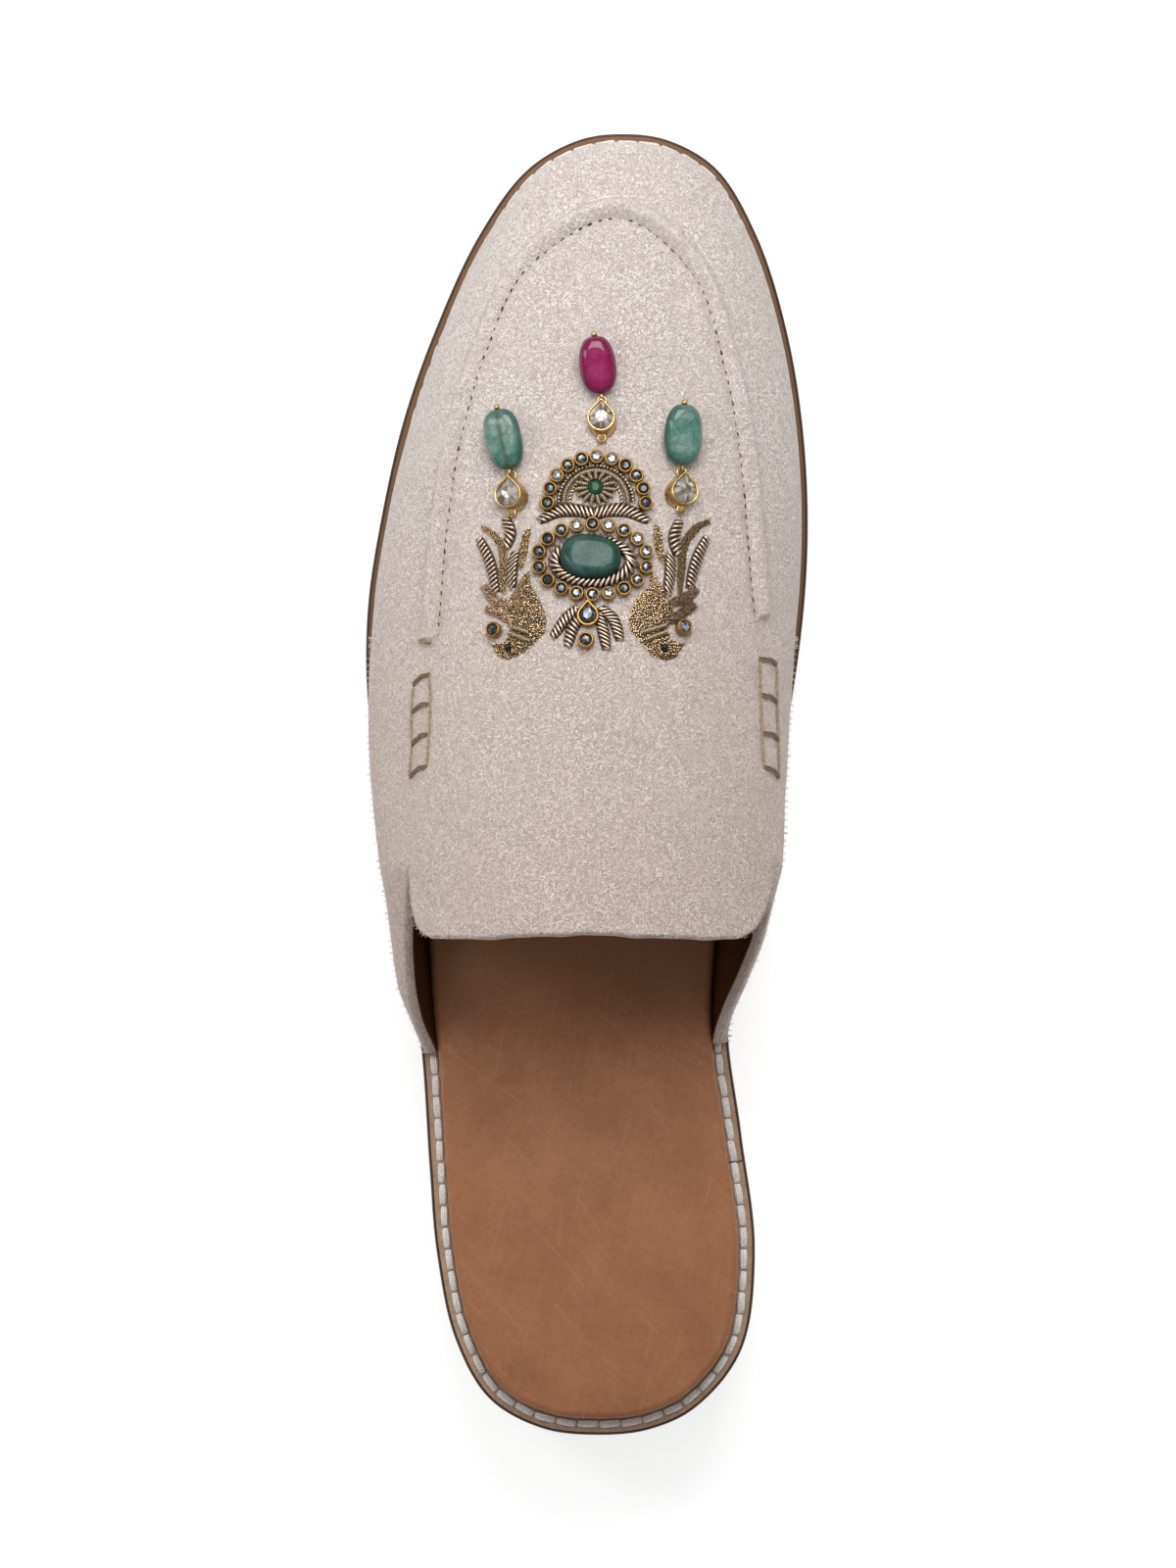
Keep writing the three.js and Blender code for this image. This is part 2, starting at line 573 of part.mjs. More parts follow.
function buildUpper() {
  const points = [];
  const faces = [];
  const put = (point) => points.push(point) - 1;
  const quad = (a, b, c, d) => {
    if (a !== b && b !== c && a !== c) faces.push([a, b, c]);
    if (a !== c && c !== d && a !== d) faces.push([a, c, d]);
  };
  const wall = columns.map((column) => wallSection(column).map(put));
  for (let i = 0; i + 1 < wall.length; i += 1) {
    for (let j = 0; j + 1 < wall[i].length; j += 1) {
      quad(wall[i][j], wall[i][j + 1], wall[i + 1][j + 1], wall[i + 1][j]);
    }
  }
  const firstRow = QUARTER_STEPS;
  const lastColumn = wall.length - 1;
  const middle = lastColumn / 2;
  const rows = [];
  for (const edge of [...TONGUE].reverse()) {
    const row = [];
    for (let c = 0; c <= VAMP_COLUMNS; c += 1) {
      const x = THREE.MathUtils.lerp(edge.lateral, edge.medial, c / VAMP_COLUMNS);
      row.push(put(onVamp(x, edge.y)));
    }
    rows.push(row);
  }
  for (let i = firstRow; i < middle; i += 1) {
    const left = points[wall[i].at(-1)];
    const right = points[wall[lastColumn - i].at(-1)];
    const row = [wall[i].at(-1)];
    for (let c = 1; c < VAMP_COLUMNS; c += 1) {
      const plan = left.clone().lerp(right, c / VAMP_COLUMNS);
      row.push(put(onVamp(plan.x, plan.y)));
    }
    row.push(wall[lastColumn - i].at(-1));
    rows.push(row);
  }
  rows.push(Array(VAMP_COLUMNS + 1).fill(wall[middle].at(-1)));
  for (let r = 0; r + 1 < rows.length; r += 1) {
    for (let c = 0; c < VAMP_COLUMNS; c += 1) {
      quad(rows[r][c], rows[r][c + 1], rows[r + 1][c + 1], rows[r + 1][c]);
    }
  }
  return thicken(points, faces, wall);
}

// The wall gets its thickness inwards; the ridge is raised on the outside alone
function thicken(points, faces, wall) {
  const normals = points.map(() => new THREE.Vector3());
  for (const [a, b, c] of faces) {
    const area = points[b].clone().sub(points[a]).cross(points[c].clone().sub(points[a]));
    for (const i of [a, b, c]) normals[i].add(area);
  }
  for (const column of wall) normals[column[0]].z = 0;
  normals.forEach((normal) => normal.normalize());
  wall.forEach((column, i) => {
    const height = points[column.at(-1)].z - points[column[0]].z;
    const share = 1 - THREE.MathUtils.clamp((height - UPPER_WALL) / SHORT_WALL, 0, 1);
    for (const index of column) normals[index].lerp(columns[i].outward, share).normalize();
  });
  const outer = points.map((point) => point.clone());
  const inner = points.map((point, i) => point.clone().addScaledVector(normals[i], -UPPER_WALL));
  columns.forEach((column, i) => {
    RIDGE_SECTION.forEach((row, j) => {
      const index = wall[i].at(-2 - j);
      outer[index].addScaledVector(normals[index], row.rise * ridgeShare(column));
    });
  });
  const size = points.length;
  const all = [...faces, ...faces.map(([a, b, c]) => [a + size, c + size, b + size])];
  const edges = new Set(faces.flatMap(([a, b, c]) => [`${a} ${b}`, `${b} ${c}`, `${c} ${a}`]));
  for (const edge of edges) {
    const [a, b] = edge.split(" ").map(Number);
    if (edges.has(`${b} ${a}`)) continue;
    all.push([b, a, a + size], [b, a + size, b + size]);
  }
  return geometryOf([...outer, ...inner], all);
}

add("upper", buildUpper(), suede);

// A place on the vamp: +Z stands on the leather, +Y runs towards the toe and may be turned by a heading
function seatOnVamp(x, y, heading = 0) {
  const step = 0.5;
  const across = onVamp(x + step, y).sub(onVamp(x - step, y)).normalize();
  const along = onVamp(x, y + step).sub(onVamp(x, y - step)).normalize();
  const normal = across.cross(along).normalize();
  const right = along.clone().cross(normal);
  const seat = new THREE.Group();
  seat.position.copy(onVamp(x, y));
  seat.quaternion.setFromRotationMatrix(new THREE.Matrix4().makeBasis(right, along, normal));
  seat.rotateZ(-THREE.MathUtils.degToRad(heading));
  shoe.add(seat);
  return seat;
}

// A turned piece that stands along +Z, from the radius and height of each step of its profile
function turned(profile, segments) {
  const points = profile.map((step) => new THREE.Vector2(step.radius, step.height));
  const geometry = new THREE.LatheGeometry(points, segments).rotateX(Math.PI / 2);
  return fromManifold(toManifold(geometry));
}

// Settings: a bezel cup with a domed stone, sewn to the vamp
function settingShape(radius) {
  return turned([
    { radius: 0, height: SEAT_GAP },
    { radius: radius * 0.9, height: SEAT_GAP },
    { radius, height: 1.2 },
    { radius: radius * 0.72, height: 1.7 },
    { radius: 0, height: 1.9 },
  ], 8);
}
for (let i = 0; i < CRESCENT.count; i += 1) {
  const angle = Math.PI - (Math.PI * i) / (CRESCENT.count - 1);
  const x = CRESCENT.x + CRESCENT.radius * Math.cos(angle);
  const y = CRESCENT.y + CRESCENT.radius * Math.sin(angle);
  add(`crescent_setting_${i + 1}`, settingShape(SETTING_RADIUS), antiqueGold, seatOnVamp(x, y));
}
const medallionRing = new THREE.EllipseCurve(MEDALLION.x, MEDALLION.y, MEDALLION.across, MEDALLION.along);
for (let i = 0; i < MEDALLION.count; i += 1) {
  const { x, y } = medallionRing.getPointAt((i + 0.5) / MEDALLION.count);
  add(`medallion_setting_${i + 1}`, settingShape(SETTING_RADIUS), antiqueGold, seatOnVamp(x, y));
}
for (const { name, x, y, radius, stretch } of LONE_SETTINGS) {
  add(name, settingShape(radius).scale(1, stretch, 1), antiqueGold, seatOnVamp(x, y));
}

// Middle of the medallion: a domed stone in a band of twisted coil
add("cabochon", turned([
  { radius: 0, height: SEAT_GAP },
  { radius: 0.94, height: SEAT_GAP },
  { radius: 1, height: 1.1 },
  { radius: 0.84, height: 2.2 },
  { radius: 0.5, height: 3.0 },
  { radius: 0, height: CABOCHON.height },
], 20).scale(CABOCHON.across, CABOCHON.along, 1), greenStone, seatOnVamp(MEDALLION.x, MEDALLION.y));
const bandShape = new THREE.Shape().absellipse(0, 0, COIL_BAND.across, COIL_BAND.along, 0, Math.PI * 2);
const bandHole = { across: CABOCHON.across + SEAT_GAP, along: CABOCHON.along + SEAT_GAP };
bandShape.holes.push(new THREE.Path().absellipse(0, 0, bandHole.across, bandHole.along, 0, Math.PI * 2));
add("coil_band", new THREE.ExtrudeGeometry(bandShape, {
  depth: COIL_BAND.height - SEAT_GAP,
  bevelEnabled: false,
  curveSegments: 14,
}).translate(0, 0, SEAT_GAP), coilThread, seatOnVamp(MEDALLION.x, MEDALLION.y));

// Faceted stone in the flower above the medallion
add("flower_stone", turned([
  { radius: 0, height: SEAT_GAP },
  { radius: 1.2, height: SEAT_GAP },
  { radius: 1.4, height: 0.9 },
  { radius: 0.8, height: 1.6 },
  { radius: 0, height: 1.6 },
], 8), greenStone, seatOnVamp(FLOWER_STONE.x, FLOWER_STONE.y));

function joined(geometries) {
  return fromManifold(geometries.map(toManifold).reduce((whole, next) => whole.add(next)));
}

function dropShape() {
  const middle = DROP.reach / 2;
  const tangent = Math.acos(DROP.radius / DROP.tip);
  const outline = new THREE.Shape();
  outline.absarc(0, middle, DROP.radius, Math.PI / 2 + tangent, Math.PI / 2 - tangent + Math.PI * 2, false);
  outline.lineTo(0, middle + DROP.tip);
  const body = new THREE.ExtrudeGeometry(outline, {
    depth: DROP.top - DROP.bottom - 2 * DROP.bevel,
    bevelSize: DROP.bevel,
    bevelThickness: DROP.bevel,
    bevelOffset: -DROP.bevel,
    bevelSegments: 1,
    curveSegments: 14,
  }).translate(0, 0, DROP.bottom + DROP.bevel);
  const sewnEye = new THREE.TorusGeometry(EYE.radius, EYE.wire, 5, 10).translate(0, 0, EYE.height);
  const linkEye = new THREE.TorusGeometry(LINK_EYE.radius, LINK_EYE.wire, 5, 10)
    .translate(0, DROP.reach, EYE.height);
  return joined([body, sewnEye, linkEye]);
}

// The bead lies along +Y from the link, tipped up so that its belly clears the leather
function beadShape({ width, length }) {
  const loop = new THREE.TorusGeometry(LOOP.radius, LOOP.wire, 5, 10).rotateY(Math.PI / 2)
    .translate(0, LOOP.radius, 0);
  const start = 2 * LOOP.radius - LOOP.wire;
  const body = new THREE.SphereGeometry(0.5, 12, 8).scale(width, length, BEAD.thickness)
    .translate(0, start + length / 2, 0);
  const ball = new THREE.SphereGeometry(BEAD.ball, 8, 5).translate(0, start + length + BEAD.ball * 0.6, 0);
  return joined([loop, body, ball]).rotateX(THREE.MathUtils.degToRad(BEAD.pitch));
}

const anchorShape = turned([
  { radius: 0, height: SEAT_GAP },
  { radius: 0.7, height: SEAT_GAP },
  { radius: 0.7, height: 0.55 },
  { radius: 0.25, height: 0.7 },
  { radius: 0.25, height: 1.85 },
  { radius: 0.8, height: 2.0 },
  { radius: 0.5, height: 2.35 },
  { radius: 0, height: 2.4 },
], 8);

for (const dangler of DANGLERS) {
  const { name, x, y, dropHeading, beadHeading } = dangler;
  const stone = name === "ruby" ? rubyBead : greenBead;
  const dropSeat = seatOnVamp(x, y, dropHeading);
  add(`${name}_anchor`, anchorShape, goldThread, dropSeat);
  add(`${name}_drop`, dropShape(), brightGold, dropSeat);
  dropSeat.updateMatrixWorld();
  const link = dropSeat.localToWorld(new THREE.Vector3(0, DROP.reach, EYE.height));
  const beadSeat = seatOnVamp(link.x, link.y, beadHeading);
  beadSeat.position.copy(link);
  add(`${name}_bead`, beadShape(dangler), stone, beadSeat);
}

export default shoe;
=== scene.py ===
"""Looks of a jewelled suede loafer mule for the left foot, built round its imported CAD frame.

Sizes are in millimetres until a mesh is made. +Y points to the toe, +X to the medial side and +Z up.
"""
import logging
import math
from collections.abc import Callable, Iterable, Sequence
from dataclasses import dataclass, field
from enum import Enum
from functools import cache, partial

import bpy
import numpy as np
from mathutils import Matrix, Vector
from mathutils.bvhtree import BVHTree
from mathutils.geometry import delaunay_2d_cdt


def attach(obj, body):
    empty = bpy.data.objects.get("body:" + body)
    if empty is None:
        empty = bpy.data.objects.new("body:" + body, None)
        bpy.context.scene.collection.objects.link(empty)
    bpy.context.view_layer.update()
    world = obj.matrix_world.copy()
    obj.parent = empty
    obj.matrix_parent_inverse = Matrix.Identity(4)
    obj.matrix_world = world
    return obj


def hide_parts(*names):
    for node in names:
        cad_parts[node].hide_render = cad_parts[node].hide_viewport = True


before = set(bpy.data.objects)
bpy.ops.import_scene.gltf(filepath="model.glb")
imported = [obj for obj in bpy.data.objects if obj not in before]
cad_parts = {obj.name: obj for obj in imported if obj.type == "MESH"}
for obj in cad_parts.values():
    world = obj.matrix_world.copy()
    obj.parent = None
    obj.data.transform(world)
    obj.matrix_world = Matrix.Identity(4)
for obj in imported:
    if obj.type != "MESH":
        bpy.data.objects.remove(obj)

log = logging.getLogger("loafer_mule")

MM = 0.001
MM_A_PIXEL = 0.23633
PHOTO_ORIGIN = (354.0, 831.5)
Table = dict[str, tuple[float, ...]]
Shape = tuple[np.ndarray, list[tuple[int, ...]]]
Reading = Callable[[np.ndarray], np.ndarray]

# Leather stack and wall
OUTSOLE_THICKNESS = 4.2
WELT_THICKNESS = 2.8
INSOLE_THICKNESS = 4.0
UPPER_WALL = 2.2
SEAT_GAP = 0.3
HEEL_BREAST = -52.5
TOP_PIECE_HEIGHT = 5.0
FEATHER_RISE = OUTSOLE_THICKNESS + WELT_THICKNESS + 2 * SEAT_GAP

# Outline of the sole, clockwise from the middle of the heel's back
SOLE_OUTLINE: Table = {
    "x": (2.2, -9.2, -20.0, -27.0, -30.8, -32.3, -34.0, -37.8, -42.0, -45.0, -44.9, -42.0, -37.6, -31.0,
          -22.3, -12.4,
          -1.8, 7.3, 16.4, 26.2, 34.5, 40.6, 44.0, 44.8, 42.6, 36.2, 30.6, 28.5, 31.2, 34.0, 31.2, 21.8,
          12.4),
    "y": (-132.5, -131.2, -125.2, -113.0, -95.3, -77.6, -53.5, -28.0, -2.0, 18.0, 36.3, 55.2, 74.3, 93.0,
          111.7, 125.2,
          131.3, 132.5, 131.2, 125.4, 111.6, 92.2, 71.0, 48.0, 23.5, -9.0, -32.7, -49.0, -71.0, -95.0,
          -115.3, -127.0,
          -131.4),
}
SOLE_PROFILE: Table = {
    "y": (-133, -90, -50, -20, 6, 36, 62, 85, 110, 133),
    "z": (21.2, 19.6, 16.6, 9.8, 3.4, 0, 0, 1.3, 4.6, 8.8),
}
FEATHER_INSET: Table = {"y": (-133, -52, -20, 133), "inset": (1.1, 1.1, 3.4, 3.4)}

# Seam line of the apron, from the lateral slit round the toe to the medial slit
APRON_LINE: Table = {
    "x": (-36.6, -33.9, -31.1, -29.4, -26.6, -20.9, -12.4, 6.3, 21.4, 28.0, 31.5, 33.3, 34.8, 36.2, 38.2),
    "y": (-16.0, 8.0, 30.0, 50.0, 69.0, 88.5, 105.4, 115.5, 104.2, 85.3, 66.0, 46.4, 30.0, 8.0, -16.0),
}
APRON_PROFILE: Table = {
    "y": (-32, -16, 0, 15, 38, 60, 80, 100, 115.5),
    "edge": (55.0, 49.5, 46.8, 44.6, 42.0, 40.2, 38.6, 36.7, 34.8),
    "crest": (76.5, 70.5, 64.6, 59.8, 53.4, 48.6, 44.3, 39.6, 34.8),
}
WALL_SWELL: Table = {
    "y": (-55, -49, -40, -28, -16, 0, 18, 35, 90, 133),
    "lateral": (0.4, 2.2, 4.8, 5.7, 6.1, 5.4, 3.2, 2.1, 2.0, 1.6),
    "medial": (0.4, 1.5, 4.9, 8.0, 8.2, 6.0, 3.6, 2.1, 2.0, 1.6),
    "crease": (0, 0, 0, 0, 0, 4, 10, 16, 26, 32),
}
LATERAL_RIM: Table = {
    "y": (-54.6, -52, -48, -41, -32, -24, -16),
    "x": (-32.7, -34.0, -35.6, -36.9, -37.4, -37.2, -36.6),
    "z": (27.2, 30.0, 33.6, 38.2, 42.8, 46.3, 49.5),
    "lean": (88, 86, 84, 78, 70, 62, 54),
}
MEDIAL_RIM: Table = {
    "y": (-52.4, -50, -46, -39, -32, -24, -16),
    "x": (27.2, 27.8, 29.2, 32.3, 35.1, 37.2, 38.2),
    "z": (27.0, 29.4, 32.6, 37.6, 41.8, 46.0, 49.5),
    "lean": (90, 90, 92, 92, 88, 74, 56),
}
TONGUE_EDGE: Table = {
    "y": (-31.2, -29.8, -27.5, -24.0, -20.0, -16.0),
    "lateral": (-32.4, -34.3, -35.3, -36.0, -36.3, -36.6),
    "medial": (31.0, 33.6, 35.2, 36.6, 37.6, 38.2),
}
SLIT_Y = -16.0
FAN_CENTRE = np.array([4.5, 62.0])
VAMP_CROWN = (0.8, 0.2)
EDGE_STEEPENING = 1.12
WIDEST = {"low": 0.37, "high": 0.66, "fullness": 0.9}
HANDLES = {"foot": 0.5, "rise": 0.3, "below": 0.45, "above": 0.5, "top": 0.34}
SHORT_WALL = 14.0


def linear(colour: str) -> tuple[float, float, float, float]:
    """Turn an sRGB hex colour into the linear values that a shader takes.

    Args:
        colour: Six hex digits after a hash sign.

    Returns:
        Linear red, green and blue, and an alpha of 1.
    """
    parts = [int(colour[i:i + 2], 16) / 255 for i in (1, 3, 5)]
    channels = [c / 12.92 if c <= 0.04045 else ((c + 0.055) / 1.055) ** 2.4 for c in parts]
    return (*channels, 1.0)


def fill_inputs(tree: bpy.types.NodeTree, node: bpy.types.Node, inputs: dict) -> None:
    """Fill or link inputs of a node.

    Args:
        tree: Tree that holds the node.
        node: The node.
        inputs: Socket names or numbers, each with a value or with the output that feeds it.
    """
    for key, value in inputs.items():
        if isinstance(value, bpy.types.NodeSocket):
            tree.links.new(value, node.inputs[key])
        else:
            node.inputs[key].default_value = value


def add_node(tree: bpy.types.NodeTree, kind: str, inputs: dict | None = None, **settings) -> bpy.types.Node:
    """Add a node with its settings, and fill or link its inputs.

    Args:
        tree: Tree that takes the node.
        kind: Blender's name for the kind of node.
        inputs: Socket names or numbers, each with a value or with the output that feeds it.
        settings: Properties of the node itself.

    Returns:
        The new node.
    """
    node = tree.nodes.new(kind)
    for name, value in settings.items():
        setattr(node, name, value)
    fill_inputs(tree, node, inputs or {})
    return node


def unit(vectors: np.ndarray) -> np.ndarray:
    """Scale vectors to length 1.

    Args:
        vectors: Vectors along the last axis.

    Returns:
        The unit vectors.
    """
    length = np.linalg.norm(vectors, axis=-1, keepdims=True)
    return vectors / np.maximum(length, 1e-12)


class Profile:
    """A smooth curve through one column of a table, without overshoot between its rows."""

    def __init__(self, table: Table, column: str) -> None:
        """Work out the tangent at each row.

        Args:
            table: Table with a column y.
            column: The column that the curve follows.
        """
        self.xs = np.array(table["y"], float)
        self.values = np.array(table[column], float)
        slopes = np.diff(self.values) / np.diff(self.xs)
        before, after = slopes[:-1], slopes[1:]
        same = before * after > 0
        inner = np.where(same, 2 * before * after / np.where(same, before + after, 1), 0)
        self.tangents = np.concatenate([slopes[:1], inner, slopes[-1:]])

    def __call__(self, y: np.ndarray | float) -> np.ndarray:
        """Read the curve.

        Args:
            y: One or more places along the foot.

        Returns:
            The value at each place.
        """
        at = np.clip(y, self.xs[0], self.xs[-1])
        i = np.clip(np.searchsorted(self.xs, at, side="left") - 1, 0, len(self.xs) - 2)
        span = self.xs[i + 1] - self.xs[i]
        t = (at - self.xs[i]) / span
        rise = self.tangents[i] * span * t * (1 - t) ** 2 - self.tangents[i + 1] * span * t * t * (1 - t)
        return self.values[i] * (1 + 2 * t) * (1 - t) ** 2 + self.values[i + 1] * t * t * (3 - 2 * t) + rise


def curve_through(points: np.ndarray, closed: bool, samples: int) -> np.ndarray:
    """Draw a centripetal curve through points.

    Args:
        points: Points in the plane, one a row.
        closed: Whether the curve comes back to its start.
        samples: Number of steps along it.

    Returns:
        Points on the curve; the last one isn't repeated where it is closed.
    """
    count = len(points)
    spans = count if closed else count - 1
    places = np.arange(samples + (not closed)) / samples * spans
    index = np.minimum(places.astype(int), spans - 1)
    share = (places - index)[:, None]
    if closed:
        corner = [points[(index + k - 1) % count] for k in range(4)]
    else:
        padded = np.vstack([2 * points[:1] - points[1:2], points, 2 * points[-1:] - points[-2:-1]])
        corner = [padded[index + k] for k in range(4)]
    gap = [np.sqrt(np.linalg.norm(corner[k + 1] - corner[k], axis=1))[:, None] for k in range(3)]
    steps = [corner[k + 1] - corner[k] for k in range(3)]
    start = (steps[0] / gap[0] - (steps[0] + steps[1]) / (gap[0] + gap[1]) + steps[1] / gap[1]) * gap[1]
    end = (steps[1] / gap[1] - (steps[1] + steps[2]) / (gap[1] + gap[2]) + steps[2] / gap[2]) * gap[1]
    square = 3 * steps[1] - 2 * start - end
    cube = -2 * steps[1] + start + end
    return corner[1] + start * share + square * share ** 2 + cube * share ** 3


def inset_line(line: np.ndarray, amount: Callable[[np.ndarray], np.ndarray] | float) -> np.ndarray:
    """Move a closed clockwise outline inwards.

    Args:
        line: Points of the outline.
        amount: Distance, the same all round or worked out from y.

    Returns:
        The moved points.
    """
    along = unit(np.roll(line, -1, axis=0) - np.roll(line, 1, axis=0))
    inward = np.stack([along[:, 1], -along[:, 0]], axis=1)
    distance = amount(line[:, 1]) if callable(amount) else np.full(len(line), amount)
    return line + inward * distance[:, None]


def crossing(line: np.ndarray, closed: bool, centre: np.ndarray, heading: np.ndarray) -> tuple[np.ndarray,
                                                                                               np.ndarray]:
    """Find where a ray from a centre leaves a line.

    Args:
        line: Points of the line.
        closed: Whether its last point joins its first.
        centre: Start of the ray.
        heading: Unit direction of the ray.

    Returns:
        The point, and the line's outward direction there.
    """
    ends = np.roll(line, -1, axis=0) if closed else line[1:]
    starts = line if closed else line[:-1]
    side_a = heading[0] * (starts[:, 1] - centre[1]) - heading[1] * (starts[:, 0] - centre[0])
    side_b = heading[0] * (ends[:, 1] - centre[1]) - heading[1] * (ends[:, 0] - centre[0])
    ahead = (starts - centre) @ heading > 0
    hits = np.nonzero((side_a * side_b <= 0) & (side_a != side_b) & ahead)[0]
    i = hits[0]
    share = side_a[i] / (side_a[i] - side_b[i])
    along = unit(ends[i] - starts[i])
    outward = np.array([-along[1], along[0]])
    return starts[i] + (ends[i] - starts[i]) * share, outward * np.sign(outward @ heading)


@dataclass(frozen=True)
class Last:
    """The form that the shoe is made on: its outline, side profile and the height of its vamp."""

    outline: np.ndarray = field(default_factory=lambda: curve_through(
        np.column_stack([SOLE_OUTLINE["x"], SOLE_OUTLINE["y"]]), True, 1440))
    apron: np.ndarray = field(default_factory=lambda: curve_through(
        np.column_stack([APRON_LINE["x"], APRON_LINE["y"]]), False, 1200))
    underside: Profile = field(default_factory=lambda: Profile(SOLE_PROFILE, "z"))
    feather_inset: Profile = field(default_factory=lambda: Profile(FEATHER_INSET, "inset"))
    edge: Profile = field(default_factory=lambda: Profile(APRON_PROFILE, "edge"))
    crest: Profile = field(default_factory=lambda: Profile(APRON_PROFILE, "crest"))

    def feather(self, y: np.ndarray | float) -> np.ndarray:
        """Give the height of the upper's foot at places along the shoe."""
        return self.underside(y) + FEATHER_RISE

    def welt_floor(self, y: np.ndarray) -> np.ndarray:
        """Give the height of the welt's underside at places along the shoe."""
        return self.underside(y) + OUTSOLE_THICKNESS

    def welt_top(self, y: np.ndarray) -> np.ndarray:
        """Give the height of the welt's upper face at places along the shoe."""
        return self.welt_floor(y) + WELT_THICKNESS + SEAT_GAP

    def vamp(self, x: np.ndarray, y: np.ndarray) -> np.ndarray:
        """Give the height of the vamp over places of the plan.

        Args:
            x: Places across.
            y: Places along.

        Returns:
            Heights over the floor.
        """
        apex = int(np.argmax(self.apron[:, 1]))
        at = np.clip(y, SLIT_Y, self.apron[apex, 1] - 0.1)
        left = np.interp(at, self.apron[:apex + 1, 1], self.apron[:apex + 1, 0])
        right = np.interp(at, self.apron[apex:, 1][::-1], self.apron[apex:, 0][::-1])
        across = np.clip((2 * x - left - right) / (right - left), -1.05, 1.05)
        crown = 1 - VAMP_CROWN[0] * across ** 2 - VAMP_CROWN[1] * across ** 4
        return self.edge(y) + (self.crest(y) - self.edge(y)) * crown

    def on_vamp(self, plan: np.ndarray) -> np.ndarray:
        """Lift plan points onto the vamp.

        Args:
            plan: Points across and along, one a row.

        Returns:
            The same points with their heights.
        """
        plan = np.asarray(plan, float)
        return np.column_stack([plan, self.vamp(plan[:, 0], plan[:, 1])])

    def vamp_normal(self, plan: np.ndarray) -> np.ndarray:
        """Give the direction that stands on the vamp.

        Args:
            plan: Points across and along, one a row.

        Returns:
            Unit normals, one a row.
        """
        plan = np.asarray(plan, float)
        step = np.array([0.5, 0.0])
        across = self.on_vamp(plan + step) - self.on_vamp(plan - step)
        along = self.on_vamp(plan + step[::-1]) - self.on_vamp(plan - step[::-1])
        return unit(np.cross(across, along))


LAST = Last()


def make_object(name: str, shape: Shape, materials: Sequence[bpy.types.Material],
                slots: Sequence[int] | None = None, sharp: float = 40.0) -> bpy.types.Object:
    """Make a mesh object at the origin from points in millimetres.

    Args:
        name: Name of the piece.
        shape: Points, one a row, and the corners of each face.
        materials: Materials of the piece, in the order of its slots.
        slots: Material slot of each face, or nothing where there is one.
        sharp: Edges that turn by more degrees than this stay sharp.

    Returns:
        The object, linked to the scene.
    """
    points, faces = shape
    mesh = bpy.data.meshes.new(name)
    mesh.from_pydata((np.asarray(points) * MM).tolist(), [], [tuple(map(int, face)) for face in faces])
    for material in materials:
        mesh.materials.append(material)
    if slots is not None:
        mesh.polygons.foreach_set("material_index", list(slots))
    mesh.shade_smooth()
    mesh.set_sharp_from_angle(angle=math.radians(sharp))
    mesh.validate()
    piece = bpy.data.objects.new(name, mesh)
    bpy.context.scene.collection.objects.link(piece)
    return piece


def finish_piece(piece: bpy.types.Object, replaced: Iterable[str] = (),
                 body: str = "shoe") -> bpy.types.Object:
    """Tell the frame what a piece rides on and which nodes it stands for.

    Args:
        piece: The finished piece.
        replaced: Nodes that it stands for.
        body: Body that it moves with.

    Returns:
        The piece.
    """
    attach(piece, body)
    nodes = list(replaced)
    if nodes:
        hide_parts(*nodes)
    log.info("%s: %d faces on %s", piece.name, len(piece.data.polygons), body)
    return piece


def lengths_along(line: np.ndarray) -> np.ndarray:
    """Give the distance from a line's start to each of its points."""
    return np.concatenate([[0], np.cumsum(np.linalg.norm(np.diff(line, axis=0), axis=1))])


def read_line(line: np.ndarray, at: np.ndarray) -> np.ndarray:
    """Give the points of a line at distances from its start."""
    lengths = lengths_along(line)
    return np.column_stack([np.interp(at, lengths, column) for column in line.T])


def spread_along(line: np.ndarray, count: int) -> np.ndarray:
    """Give a number of points at even distances along a line, half a step in from its ends."""
    return read_line(line, (np.arange(count) + 0.5) / count * lengths_along(line)[-1])


def start_material(name: str) -> tuple[bpy.types.Material, Callable]:
    """Start a material.

    Args:
        name: Name of the material.

    Returns:
        The material, and the function that adds a node to it.
    """
    material = bpy.data.materials.new(name)
    material.use_nodes = True
    return material, partial(add_node, material.node_tree)


def end_material(material: bpy.types.Material, inputs: dict) -> bpy.types.Material:
    """Fill or link the inputs of a material's shader, and return the material."""
    fill_inputs(material.node_tree, material.node_tree.nodes["Principled BSDF"], inputs)
    return material


def layered(add: Callable, under: str, layers: Iterable[tuple[bpy.types.NodeSocket,
                                                              str]]) -> bpy.types.NodeSocket:
    """Lay colours over each other.

    Args:
        add: Function that adds a node to the material.
        under: The lowest colour.
        layers: Where each layer above it shows, with its colour.

    Returns:
        The colour that is seen.
    """
    seen = linear(under)
    for share, over in layers:
        seen = add("ShaderNodeMix", {"Factor": share, 6: seen, 7: linear(over)}, data_type="RGBA").outputs[2]
    return seen


